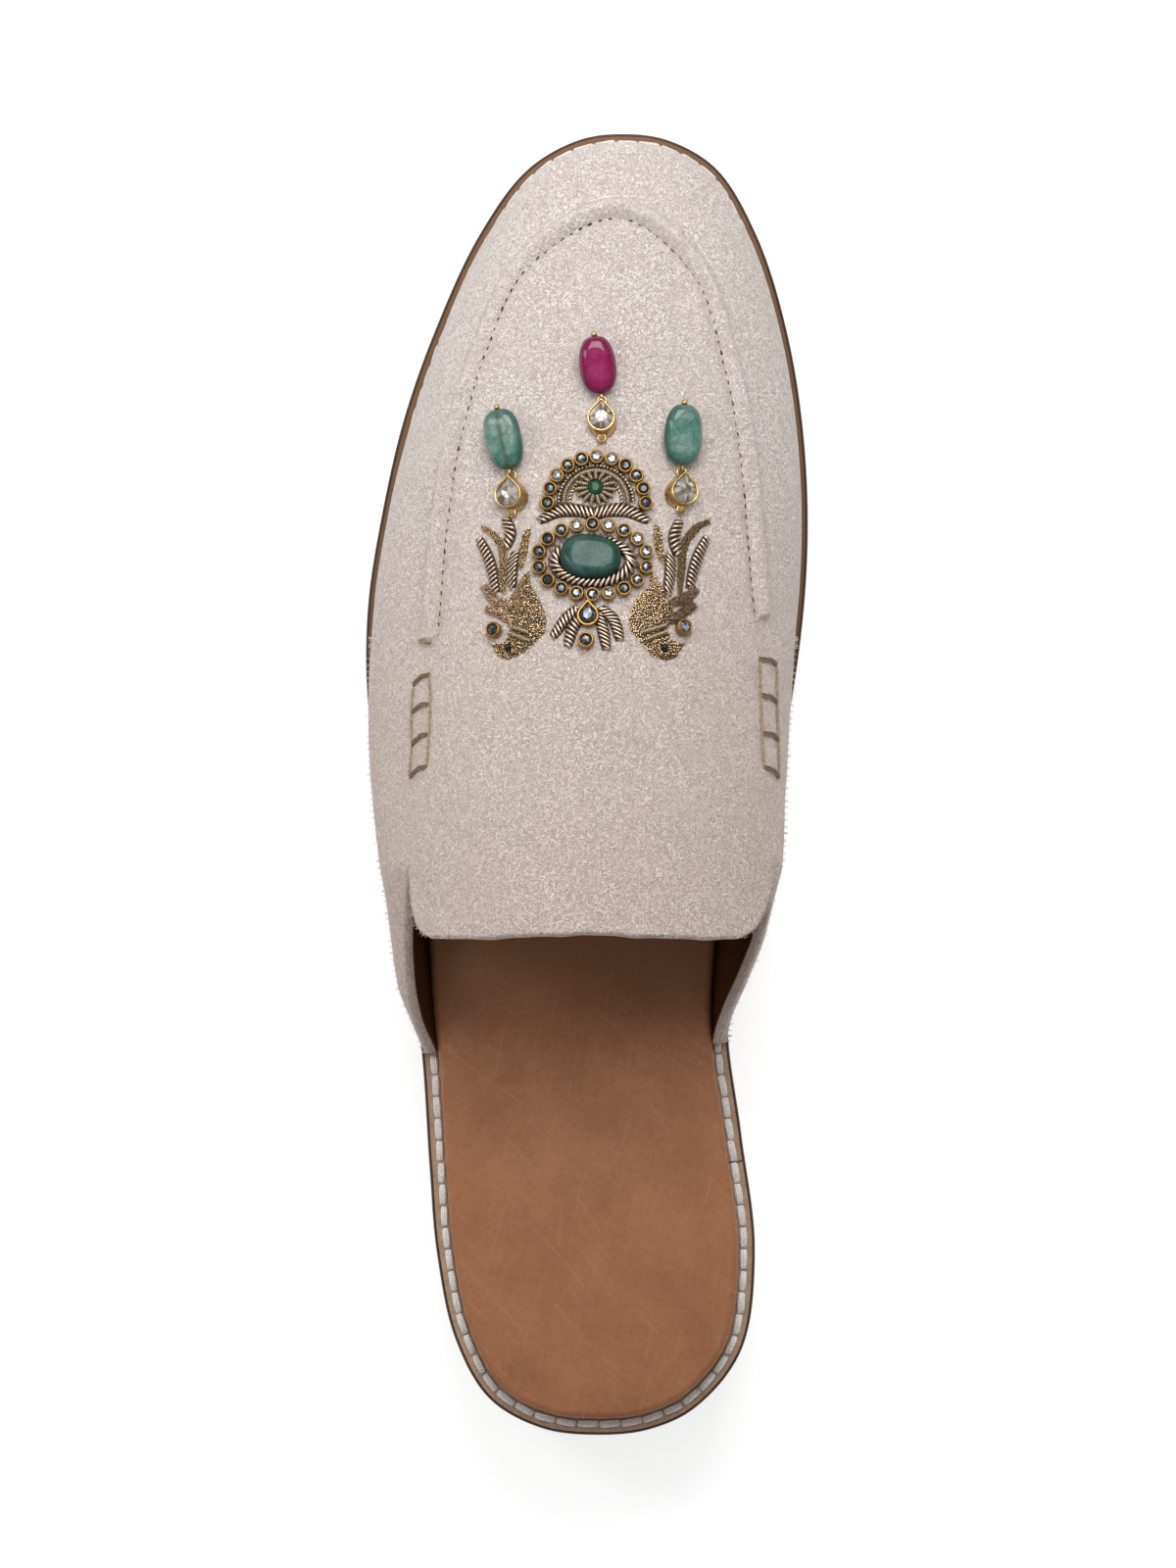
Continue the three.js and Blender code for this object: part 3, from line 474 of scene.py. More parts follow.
@dataclass(frozen=True)
class Suede:
    """Cream suede. Its brushed nap scatters light: matt, with a soft bright edge and a worm-like grain."""

    name: str = "cream_suede"
    colour: str = "#e8ded8"
    shade: str = "#b6a79e"
    cloud: str = "#d8c9bf"
    fleck: str = "#a58f7f"
    # Tone multiplied in towards the heel: partly the suede's warmer tone there, partly painted shade where
    # the light from the toe falls off.
    warm_shade: str = "#ece1d9"
    nap_mm: float = 0.47
    curl: float = 1.9
    mottle_mm: float = 6.0
    fleck_mm: float = 1.6
    warm_shade_from: float = 70.0
    warm_shade_to: float = -20.0

    def make(self) -> bpy.types.Material:
        """Build the material and return it."""
        material, add = start_material(self.name)
        place = add("ShaderNodeTexCoord").outputs["Object"]
        nap = add("ShaderNodeTexNoise", {
            "Vector": place, "Scale": 1 / (self.nap_mm * MM), "Detail": 2.0, "Distortion": self.curl})
        mottle = add("ShaderNodeTexNoise", {
            "Vector": place, "Scale": 1 / (self.mottle_mm * MM), "Detail": 4.0, "Roughness": 0.6})
        specks = add("ShaderNodeTexNoise", {"Vector": place, "Scale": 1 / (self.fleck_mm * MM),
                                            "Detail": 1.0})
        fibres = add("ShaderNodeMapRange", {
            "Value": nap.outputs["Fac"], "From Min": 0.39, "From Max": 0.55},
            interpolation_type="SMOOTHSTEP")
        cloudy = add("ShaderNodeMapRange", {
            "Value": mottle.outputs["Fac"], "From Min": 0.35, "From Max": 0.65, "To Max": 0.35})
        flecked = add("ShaderNodeMapRange", {
            "Value": specks.outputs["Fac"], "From Min": 0.76, "From Max": 0.82, "To Max": 0.6})
        seen = layered(add, self.shade, (
            (fibres.outputs[0], self.colour), (cloudy.outputs[0], self.cloud),
            (flecked.outputs[0], self.fleck)))
        # Towards the heel the colour is multiplied by a warmer, darker tone: partly real tint, partly
        # painted shade.
        along = add("ShaderNodeSeparateXYZ", {0: place}).outputs["Y"]
        rear_shade = add("ShaderNodeMapRange", {
            "Value": along, "From Min": self.warm_shade_from * MM, "From Max": self.warm_shade_to * MM, "To Max": 0.8})
        warm_shaded = add("ShaderNodeMix", {
            "Factor": rear_shade.outputs[0], 6: seen, 7: linear(self.warm_shade)}, data_type="RGBA",
            blend_type="MULTIPLY")
        bump = add("ShaderNodeBump", {"Height": fibres.outputs[0], "Strength": 0.8, "Distance": 0.2 * MM})
        return end_material(material, {
            "Base Color": warm_shaded.outputs[2], "Roughness": 0.95, "Sheen Weight": 0.25, "Sheen Roughness": 0.5,
            "Specular IOR Level": 0.15, "Normal": bump.outputs[0]})


@dataclass(frozen=True)
class Leather:
    """Tanned leather: a dyed, finished face with fine pores, faint scratches and clouds of colour."""

    name: str
    colour: str
    cloud: str
    roughness: float = 0.5
    pore_mm: float = 0.35
    cloud_mm: float = 14.0
    scratch: float = 0.0
    bump: float = 0.25
    front: str = ""
    grain: float = 0.12
    grain_mm: float = 0.9
    front_from: float = -45.0
    front_to: float = -20.0
    pore_shadow: str = "#2a1a10"
    scratched: str = "#b58a6c"

    def make(self) -> bpy.types.Material:
        """Build the material and return it."""
        material, add = start_material(self.name)
        place = add("ShaderNodeTexCoord").outputs["Object"]
        clouds = add("ShaderNodeTexNoise", {
            "Vector": place, "Scale": 1 / (self.cloud_mm * MM), "Detail": 8.0,
            "Roughness": 0.68}).outputs["Fac"]
        share = add("ShaderNodeMapRange", {"Value": clouds, "From Min": 0.32, "From Max": 0.68})
        grain = add("ShaderNodeTexNoise", {
            "Vector": place, "Scale": 1 / (self.grain_mm * MM), "Detail": 3.0, "Roughness": 0.7})
        darker = add("ShaderNodeMapRange", {
            "Value": grain.outputs["Fac"], "From Min": 0.3, "From Max": 0.6, "To Min": self.grain,
            "To Max": 0.0})
        layers = [(share.outputs[0], self.cloud), (darker.outputs[0], self.pore_shadow)]
        # Towards the toe the colour moves to the front colour: darker on the welt; lighter on the insole, as
        # painted light on the front that the throat shades.
        if self.front:
            along = add("ShaderNodeSeparateXYZ", {0: place}).outputs["Y"]
            forward = add("ShaderNodeMapRange", {"Value": along, "From Min": self.front_from * MM,
                                                 "From Max": self.front_to * MM})
            layers.append((forward.outputs[0], self.front))
        if self.scratch > 0:
            layers.extend((lines, self.scratched) for lines in self.scratches(add, place))
        shine = add("ShaderNodeMapRange", {
            "Value": clouds, "From Min": 0.3, "From Max": 0.7, "To Min": self.roughness - 0.06,
            "To Max": self.roughness + 0.08})
        pores = add("ShaderNodeTexVoronoi", {"Vector": place, "Scale": 1 / (self.pore_mm * MM)})
        bump = add("ShaderNodeBump", {
            "Height": pores.outputs["Distance"], "Strength": self.bump, "Distance": 0.08 * MM})
        return end_material(material, {
            "Base Color": layered(add, self.colour, layers), "Roughness": shine.outputs[0],
            "Specular IOR Level": 0.25, "Normal": bump.outputs[0]})

    def scratches(self, add: Callable, place: bpy.types.NodeSocket) -> list[bpy.types.NodeSocket]:
        """Draw two sets of long wandering lines.

        Args:
            add: Function that adds a node to the material.
            place: Place of each point on the piece.

        Returns:
            Strength of the lines of each set.
        """
        bent = add("ShaderNodeTexNoise", {"Vector": place, "Scale": 28.0, "Detail": 1.0}).outputs["Color"]
        wander = add("ShaderNodeVectorMath", {0: bent, "Scale": 9 * MM}, operation="SCALE")
        moved = add("ShaderNodeVectorMath", {0: place, 1: wander.outputs[0]}, operation="ADD")
        made = []
        for angle, across in ((-0.75, 900.0), (0.25, 1300.0)):
            turned_by = add("ShaderNodeVectorRotate", {
                "Vector": moved.outputs[0], "Angle": angle}, rotation_type="Z_AXIS")
            drawn = add("ShaderNodeVectorMath", {
                0: turned_by.outputs[0], 1: (across, 38.0, 38.0)}, operation="MULTIPLY")
            lines = add("ShaderNodeTexNoise", {"Vector": drawn.outputs[0], "Scale": 1.0, "Detail": 2.0})
            fine = add("ShaderNodeMapRange", {
                "Value": lines.outputs["Fac"], "From Min": 0.62, "From Max": 0.74, "To Max": self.scratch})
            made.append(fine.outputs[0])
        return made


def sole_loop(inset: Reading | float, height: Reading, stations: int,
              front: float | None = None) -> np.ndarray:
    """Work out one loop of a sole piece: up the medial side to the toe and down the lateral side.

    Args:
        inset: How far the loop stands in from the sole's edge.
        height: Height of the loop at places along the foot.
        stations: Number of steps along the foot.
        front: Where the loop is cut straight across, or nothing where it runs to the toe.

    Returns:
        Points of the loop.
    """
    line = inset_line(LAST.outline, inset)
    line = np.roll(line, -int(np.argmin(line[:, 1])), axis=0)
    toe = int(np.argmax(line[:, 1]))
    lateral = line[:toe + 1]
    medial = np.vstack([line[toe:], line[:1]])[::-1]
    part = np.arange(1, stations + (front is not None)) / stations
    share = (1 - np.cos(part * np.pi)) / 2 if front is None else 1 - np.cos(part * np.pi / 2)
    end = line[toe, 1] if front is None else front
    ys = line[0, 1] + (end - line[0, 1]) * share
    right, left = (np.column_stack([np.interp(ys, side[:, 1], side[:, 0]), ys]) for side in (medial,
                                                                                             lateral))
    tip = [line[toe:toe + 1]] if front is None else []
    plan = np.vstack([line[:1], right, *tip, left[::-1]])
    return np.column_stack([plan, height(plan[:, 1])])


def stack_loops(loops: Sequence[np.ndarray], ring: bool = False) -> Shape:
    """Join level loops into a closed body.

    Args:
        loops: Loops from the bottom to the top, all with the same number of points.
        ring: Whether the last loop joins the first, round a hole, in place of flat ends.

    Returns:
        Its points and its faces.
    """
    size, count = len(loops[0]), len(loops)
    faces = ring_faces(count, size, around=ring)
    if not ring:
        top = (count - 1) * size
        for k in range((size + 1) // 2):
            face = list(dict.fromkeys([k, k + 1, size - k - 1, (size - k) % size]))
            if k + 1 > size - k - 1 or len(face) < 3:
                continue
            faces.append(tuple(face[::-1]))
            faces.append(tuple(top + c for c in face))
    return np.vstack(loops), faces


def rounded_edge(radius: float, steps: int) -> list[tuple[float, float]]:
    """Give the rounding of a top edge as insets and drops, from the side to the face.

    Args:
        radius: Radius of the rounding.
        steps: Number of steps round it.

    Returns:
        Pairs of an inset from the side and a drop from the face.
    """
    turns = [math.pi / 2 * i / steps for i in range(steps + 1)]
    return [(radius * (1 - math.cos(turn)), radius * (1 - math.sin(turn))) for turn in turns]


@dataclass
class SoleUnit:
    """Outsole, welt, insole and heel, with the stitches of the welt."""

    stations: int = 150
    heel_stations: int = 60
    edge_steps: int = 4
    edge_round: float = 0.7
    welt_round: float = 0.5
    insole_round: float = 1.5
    insole_steps: int = 6
    welt_hole: float = 11.6
    stitch_pitch: float = 4.45
    stitch_size: tuple[float, float, float] = (1.55, 4.2, 0.7)
    stitch_inset: float = 2.35
    joint: tuple[float, float] = (29.9, -77.2)

    def build(self) -> None:
        """Build each piece of the sole and hand it to the frame."""
        self.build_outsole()
        self.build_welt()
        self.build_insole()
        self.build_heel()
        self.build_stitches()

    def plate(self, inset: float, bottom: Reading, top: Reading, edge: float) -> list[np.ndarray]:
        """Make the loops of a plate with rounded edges.

        Args:
            inset: How far its side stands in from the sole's edge.
            bottom: Height of its lower face along the foot.
            top: Height of its upper face along the foot.
            edge: Radius of its edges.

        Returns:
            Loops from the bottom to the top.
        """
        edges = rounded_edge(edge, self.edge_steps)
        rows = [(move, bottom, drop) for move, drop in reversed(edges)]
        rows += [(move, top, -drop) for move, drop in edges]
        return [sole_loop(inset + move, lambda y: face(y) + lift, self.stations) for move, face,
                lift in rows]

    def build_outsole(self) -> None:
        """Build the outsole, with a burnished edge."""
        leather = Leather("burnished_sole_leather", "#6e513c", "#5a4030", roughness=0.45,
                          cloud_mm=9.0).make()
        loops = self.plate(0.0, LAST.underside, LAST.welt_floor, self.edge_round)
        finish_piece(make_object("outsole_leather", stack_loops(loops), [leather]),
                     ["outsole"])

    def build_welt(self) -> None:
        """Build the welt as a ring, and mark the joint of its strip."""
        leather = Leather("welt_leather", "#bd9e86", "#a58972", roughness=0.7, pore_mm=0.5, cloud_mm=3.0,
                          bump=0.5, front="#7c5d45", grain=0.3, grain_mm=0.5).make()
        edge = Leather("burnished_welt_edge", "#4a3427", "#3a281d", roughness=0.45).make()
        loops = self.plate(0.1, LAST.welt_floor, LAST.welt_top, self.welt_round)
        sides = (len(loops) - 1) * len(loops[0])
        loops += [sole_loop(self.welt_hole, face, self.stations) for face in (LAST.welt_top,
                                                                              LAST.welt_floor)]
        strip = stack_loops(loops, ring=True)
        slots = [1] * sides + [0] * (len(strip[1]) - sides)
        finish_piece(make_object("welt_strip", strip, [leather, edge], slots), ["welt"])
        x, y = self.joint
        share = np.linspace(0, 1, 9)
        plan = np.column_stack([x - 1.5 + 3.4 * share, y + 0.5 * share + 0.12 * np.sin(share * 9)])
        cut = np.column_stack([plan, LAST.welt_top(plan[:, 1]) + 0.02])
        finish_piece(make_object("welt_joint", tube(cut, 0.16, sides=6), [edge]))

    def build_insole(self) -> None:
        """Build the insole board with its rolled leather edge."""
        # The lighter front colour is painted light on the insole's shaded front.
        leather = Leather("insole_leather", "#ab7451", "#9a6544", roughness=0.5, scratch=0.24,
                          bump=0.2, front="#cb9470", grain=0.14, grain_mm=1.1).make()
        edge = rounded_edge(self.insole_round, self.insole_steps)
        rows = [(0.0, -SEAT_GAP), *((move, INSOLE_THICKNESS - drop) for move, drop in edge)]
        loops = [sole_loop(lambda y: LAST.feather_inset(y) + UPPER_WALL + 0.1 + move,
                           lambda y: LAST.feather(y) + lift, self.stations) for move, lift in rows]
        finish_piece(make_object("insole_board", stack_loops(loops), [leather]),
                     ["insole"])

    def build_heel(self) -> None:
        """Build the stacked heel and its rubber top piece."""
        leather = Leather("stacked_heel_leather", "#6a4d39", "#5b402f", roughness=0.5, cloud_mm=6.0).make()
        rubber = Leather("heel_rubber", "#3a2d26", "#332722", roughness=0.75, pore_mm=0.8, bump=0.3).make()
        low, top = TOP_PIECE_HEIGHT, LAST.underside
        stack = [(1.5, lambda y: low + 0.02 + 0 * y), (1.28, lambda y: (top(y) + low) / 2), (0.7, top)]
        foot = [(inset, lambda y, z=z: z + 0 * y) for inset, z in (
            (2.2, 0.0), (1.75, 0.2), (1.6, 0.6), (1.4, low - 0.25), (1.55, low))]
        for name, rows, finish, slot, node in (
            ("heel_stack", stack, leather, "sole_leather", "heel_block"),
            ("heel_rubber_piece", foot, rubber, "heel_rubber", "heel_top_piece"),
        ):
            loops = [sole_loop(inset, height, self.heel_stations, HEEL_BREAST) for inset, height in rows]
            finish_piece(make_object(name, stack_loops(loops), [finish]), [node])

    def build_stitches(self) -> None:
        """Sew the welt with its white stitches."""
        waxed = Thread("white_waxed_thread", "#fdfbf9", "#cfc8c2", roughness=0.4, twist_mm=0.3).make()
        outward = Profile({"y": (-133, 40, 90, 133), "inset": (0.0, 0.0, 0.1, 0.22)}, "inset")
        line = inset_line(LAST.outline, lambda y: self.stitch_inset - outward(y))
        line = np.vstack([line, line[:1]])
        plan = spread_along(line, round(lengths_along(line)[-1] / self.stitch_pitch))
        rise = LAST.underside(plan[:, 1] + 0.5) - LAST.underside(plan[:, 1] - 0.5)
        along = unit(np.roll(plan, -1, axis=0) - np.roll(plan, 1, axis=0))
        along = unit(np.column_stack([along, along[:, 1] * rise]))
        up = unit(np.column_stack([0 * rise, -rise, 0 * rise + 1]))
        body, faces = tumbled(*self.stitch_size, 3, 12, 32, 0.3)
        body[:, 2] += 0.11 * np.cos(body[:, 0] / self.stitch_size[0] * math.tau * 3.5)
        body[:, 2] += 0.45 * np.cos(body[:, 1] / self.stitch_size[1] * math.pi) - 0.2
        template = make_object("stitch", (body, faces), [waxed], sharp=80)
        points = np.column_stack([plan, LAST.welt_top(plan[:, 1]) + 0.15])
        finish_piece(set_pieces("welt_stitches", template, points, up, along, 0.06, 0.05, 4))


@dataclass
class SuedeUpper:
    """The suede upper with its lining, raised apron seam and soft creases."""

    ridge_rise: float = 1.75
    ridge_width: float = 4.4
    ridge_end_lateral: float = 29.0
    ridge_end_medial: float = 33.8
    wall_rows: int = 30
    ridge_rows: int = 16
    vamp_columns: int = 96
    fan_steps: int = 128
    quarter_steps: int = 32
    seam_trough: float = 0.75
    rims: list[tuple[np.ndarray, np.ndarray]] = field(default_factory=list)

    def build(self) -> BVHTree:
        """Build the upper and hand it to the frame.

        Returns:
            Its surface, for what is sewn to it.
        """
        suede = Suede().make()
        lining = Leather("lining_leather", "#6d4324", "#5a351b", roughness=0.5).make()
        points, faces, slots = self.mesh()
        piece = make_object("suede_upper", (points, faces), [suede, lining], slots, sharp=70)
        finish_piece(piece, ["upper"])
        return BVHTree.FromPolygons(points.tolist(), [tuple(map(int, face)) for face in faces])

    def wall_section(self, foot: np.ndarray, outward: np.ndarray, top: np.ndarray, radial: np.ndarray,
                     swell: float, lean: float) -> np.ndarray:
        """Draw a section of the wall on two curves that meet upright at its widest place.

        Args:
            foot: Foot of the wall.
            outward: Level direction in which the foot's edge faces.
            top: Top of the wall.
            radial: Level direction of the section.
            swell: How far the widest place stands out from the foot.
            lean: Angle of the wall at its top, below level, in degrees.

        Returns:
            Points from the foot to the top.
        """
        rise = top[2] - foot[2]
        overhang = float((top - foot) @ outward)
        level = WIDEST["low"] + (WIDEST["high"] - WIDEST["low"]) * min(max(overhang / swell, 0), 1)
        up = np.array([0.0, 0.0, 1.0])
        widest = foot + outward * swell + up * level * rise
        chord = math.atan2(top[2] - widest[2], swell - overhang)
        angle = min(math.radians(lean), WIDEST["fullness"] * chord)
        head = HANDLES["top"] * np.linalg.norm(top - widest)
        arcs = [
            (foot, foot + outward * HANDLES["foot"] * swell + up * HANDLES["rise"] * level * rise,
             widest - up * HANDLES["below"] * level * rise, widest),
            (widest, widest + up * HANDLES["above"] * (top[2] - widest[2]),
             top + radial * head * math.cos(angle) - up * head * math.sin(angle), top),
        ]
        t = np.linspace(0, 1, 60)[:, None]
        lines = [a * (1 - t) ** 3 + 3 * b * t * (1 - t) ** 2 + 3 * c * t * t * (1 - t) + d * t ** 3
                 for a, b, c, d in arcs]
        line = np.vstack([lines[0], lines[1][1:]])
        total = lengths_along(line)[-1]
        squeeze = min(1.0, total / SHORT_WALL)
        lowest = total - (self.ridge_width + 1.2) * squeeze
        near = total - self.ridge_width * squeeze * np.linspace(1, 0, self.ridge_rows + 1)
        return read_line(line, np.concatenate([np.linspace(0, lowest, self.wall_rows), near]))

    def columns(self) -> list[dict]:
        """Set out the wall's columns, from the lateral quarter's end round the toe to the medial one's."""
        foot_line = inset_line(LAST.outline, LAST.feather_inset)
        swell = {-1: Profile(WALL_SWELL, "lateral"), 1: Profile(WALL_SWELL, "medial")}
        crease = Profile(WALL_SWELL, "crease")
        rims = {side: {key: Profile(rim, key) for key in ("x", "z", "lean")}
                for side, rim in ((-1, LATERAL_RIM), (1, MEDIAL_RIM))}

        def column(centre: np.ndarray, radial: np.ndarray, side: int) -> dict:
            """Set out one column: its foot, its top, its directions, its swell and its lean."""
            foot, outward = crossing(foot_line, True, centre, radial)
            y = foot[1]
            data = {"foot": np.array([*foot, LAST.feather(y)]), "outward": np.array([*outward, 0.0]),
                    "radial": np.array([*radial, 0.0]), "swell": float(swell[side](y))}
            if y < SLIT_Y - 1e-6:
                rim = rims[side]
                return data | {"top": np.array([rim["x"](y), y, rim["z"](y)]), "lean": float(rim["lean"](y))}
            edge, _ = crossing(LAST.apron, False, centre + np.array([0, 1e-6]), radial)
            top = LAST.on_vamp(edge[None])[0]
            top[2] = LAST.edge(edge[1])
            step = 2.0
            within = LAST.on_vamp((edge - radial * step)[None])[0]
            slope = math.degrees(math.atan2(within[2] - top[2], step))
            return data | {"top": top, "lean": slope * EDGE_STEEPENING + float(crease(y))}

        def straight(y: float, side: int) -> dict:
            """Set out a column square across the foot."""
            return column(np.array([0.0, y]), np.array([float(side), 0.0]), side)

        stations = np.concatenate([np.linspace(SLIT_Y, 28, 36), np.linspace(28.5, 35, 14),
                                   np.linspace(36, 62, 22)])
        angles = math.pi - math.pi * np.arange(1, self.fan_steps) / self.fan_steps
        spokes = np.column_stack([np.cos(angles), np.sin(angles)])
        fan = [column(FAN_CENTRE, spoke, -1 if spoke[0] < 0 else 1) for spoke in spokes]
        ends = {-1: LATERAL_RIM["y"][0], 1: MEDIAL_RIM["y"][0]}
        quarters = {side: np.linspace(ends[side], SLIT_Y, self.quarter_steps,
                                      endpoint=False) for side in (-1, 1)}
        return [
            *(straight(y, -1) for y in (*quarters[-1], *stations)), *fan,
            *(straight(y, 1) for y in (*stations[::-1], *quarters[1][::-1])),
        ]

    def mesh(self) -> tuple[np.ndarray, list[tuple[int, ...]], list[int]]:
        """Make the wall and vamp as one sheet, and give it its thickness.

        Returns:
            Points, faces and the material slot of each face.
        """
        columns = self.columns()
        count = len(columns)
        rows = self.wall_rows + self.ridge_rows + 1
        wall = np.array([self.wall_section(**column) for column in columns])
        points = [wall.reshape(-1, 3)]
        wall_id = np.arange(count * rows).reshape(count, rows)
        next_id = count * rows
        faces = [(wall_id[i, j], wall_id[i, j + 1], wall_id[i + 1, j + 1], wall_id[i + 1, j])
                 for i in range(count - 1) for j in range(rows - 1)]
        share = np.linspace(0, 1, self.vamp_columns + 1)
        tongue_y = np.array(TONGUE_EDGE["y"])
        sides = {key: Profile(TONGUE_EDGE, key) for key in ("lateral", "medial")}
        bands = []
        steps = np.linspace(0, 1, 25)[:-1] ** 1.5
        for y in tongue_y[0] + (SLIT_Y - tongue_y[0]) * steps:
            left, right = float(sides["lateral"](y)), float(sides["medial"](y))
            sag = 0.4 + np.exp(-((share - 0.5) / 0.24) ** 2)
            sag += 0.12 * np.sin(share * 26) + 0.06 * np.sin(share * 53 + 1)
            near = max(0.0, 1 - (y - tongue_y[0]) / 7)
            plan = np.column_stack([left + (right - left) * share, y + near * sag])
            points.append(LAST.on_vamp(plan))
            bands.append(np.arange(next_id, next_id + len(share)))
            next_id += len(share)
        middle = (count - 1) // 2
        for i in range(self.quarter_steps, middle):
            left, right = wall[i, -1], wall[count - 1 - i, -1]
            plan = left[:2] + (right[:2] - left[:2]) * share[1:-1, None]
            points.append(LAST.on_vamp(plan))
            band = np.arange(next_id, next_id + len(share) - 2)
            bands.append(np.concatenate([[wall_id[i, -1]], band, [wall_id[count - 1 - i, -1]]]))
            next_id += len(share) - 2
        bands.append(np.full(len(share), wall_id[middle, -1]))
        for low, high in zip(bands, bands[1:]):
            for c in range(self.vamp_columns):
                face = tuple(dict.fromkeys((low[c], low[c + 1], high[c + 1], high[c])))
                if len(face) > 2:
                    faces.append(face)
        sheet = np.vstack(points)
        return self.thicken(sheet, faces, wall_id, columns)

    def thicken(self, sheet: np.ndarray, faces: list[tuple[int, ...]], wall_id: np.ndarray,
                columns: list[dict]) -> tuple[np.ndarray, list[tuple[int, ...]], list[int]]:
        """Give the sheet its lining, its rounded raw edges, its seam ridge and its creases.

        Args:
            sheet: Points of the outer face, before the ridge.
            faces: Faces of the sheet.
            wall_id: Point numbers of the wall, by column and row.
            columns: The wall's columns.

        Returns:
            Points, faces and the material slot of each face.
        """
        normals = np.zeros_like(sheet)
        for face in faces:
            corner = sheet[list(face)]
            area = np.cross(corner[2] - corner[0], corner[-1] - corner[1]) if len(face) == 4 else np.cross(
                corner[1] - corner[0], corner[2] - corner[0])
            normals[list(face)] += area
        normals[wall_id[:, 0], 2] = 0
        normals = unit(normals)
        for ids, column in zip(wall_id, columns):
            height = sheet[ids[-1], 2] - sheet[ids[0], 2]
            share = 1 - min(max((height - UPPER_WALL) / SHORT_WALL, 0), 1)
            normals[ids] = unit(normals[ids] * (1 - share) + column["outward"] * share)
        outer = sheet.copy()
        inner = sheet - normals * UPPER_WALL
        across = np.linspace(self.ridge_width, 0, self.ridge_rows + 1)
        hump = self.ridge_rise * np.sin(np.pi * np.clip(across / self.ridge_width, 0, 1) ** 0.8) ** 0.7
        for ids, column in zip(wall_id, columns):
            end = self.ridge_end_lateral if column["radial"][0] < 0 else self.ridge_end_medial
            share = min(max((column["top"][1] - end) / 1.0 + 0.5, 0), 1)
            outer[ids[-len(hump):]] += normals[ids[-len(hump):]] * (hump * share)[:, None]
        lift = sum(crease.lift(sheet[:, :2]) for crease in CREASES)
        seam = self.apron_gap(sheet[:, :2])
        lift = lift - self.seam_trough * np.exp(-(seam / 0.95) ** 2) * np.clip((sheet[:, 1] - 20) / 12, 0, 1)
        lift[wall_id[:, 0]] = 0
        edge = np.clip((sheet[:, 1] - TONGUE_EDGE["y"][0]) / 5, 0, 1)
        outer += normals * (lift * np.where(sheet[:, 1] < SLIT_Y, edge, 1))[:, None]
        flanks = wall_id[:, 8:self.wall_rows - 4:3].ravel()
        low = flanks[(sheet[flanks, 1] < 30) & (normals[flanks, 2] < 0.4)]
        self.rims.extend((outer[[i, i + 1]], normals[i]) for i in low)
        return self.close_edges(outer, inner, faces)

    def apron_gap(self, plan: np.ndarray) -> np.ndarray:
        """Measure how far points lie from the apron seam in plan."""
        line = LAST.apron[::6]
        return np.linalg.norm(plan[:, None] - line, axis=-1).min(axis=1)

    def close_edges(self, outer: np.ndarray, inner: np.ndarray,
                    faces: list[tuple[int, ...]]) -> tuple[np.ndarray, list[tuple[int, ...]], list[int]]:
        """Join the outer face to the lining round every free edge, with a softly rounded raw edge.

        Args:
            outer: Points of the suede.
            inner: Points of the lining.
            faces: Faces of the sheet.

        Returns:
            Points, faces and the material slot of each face.
        """
        size = len(outer)
        edges = {(face[k], face[(k + 1) % len(face)]) for face in faces for k in range(len(face))}
        free = [edge for edge in edges if (edge[1], edge[0]) not in edges]
        after = dict(free)
        before = {b: a for a, b in free}
        bulge = ((0.16, 0.28), (0.5, 0.4), (0.84, 0.28))
        extra: list[np.ndarray] = []
        ring: dict[int, list[int]] = {}
        for a in after:
            along = unit(outer[after[a]] - outer[before.get(a, a)])
            across = unit(inner[a] - outer[a])
            away = unit(np.cross(across, along))
            ring[a] = []
            for share, out in bulge:
                ring[a].append(2 * size + len(extra))
                extra.append(outer[a] + (inner[a] - outer[a]) * share + away * out)
            if outer[a, 2] > LAST.feather(outer[a, 1]) + 6:
                self.rims.append((outer[[a, after[a]]], away))
        closed = [*faces, *(tuple(corner + size for corner in reversed(face)) for face in faces)]
        slots = [0] * len(faces) + [1] * len(faces)
        for a, b in free:
            line_a = [a, *ring[a], a + size]
            line_b = [b, *ring[b], b + size]
            for k in range(len(line_a) - 1):
                closed.append((line_b[k], line_a[k], line_a[k + 1], line_b[k + 1]))
                slots.append(0 if k < 3 else 1)
        return np.vstack([outer, inner, np.array(extra)]), closed, slots


class Hand(Enum):
    """Way in which a coil is wound."""

    LEFT = -1
    RIGHT = 1


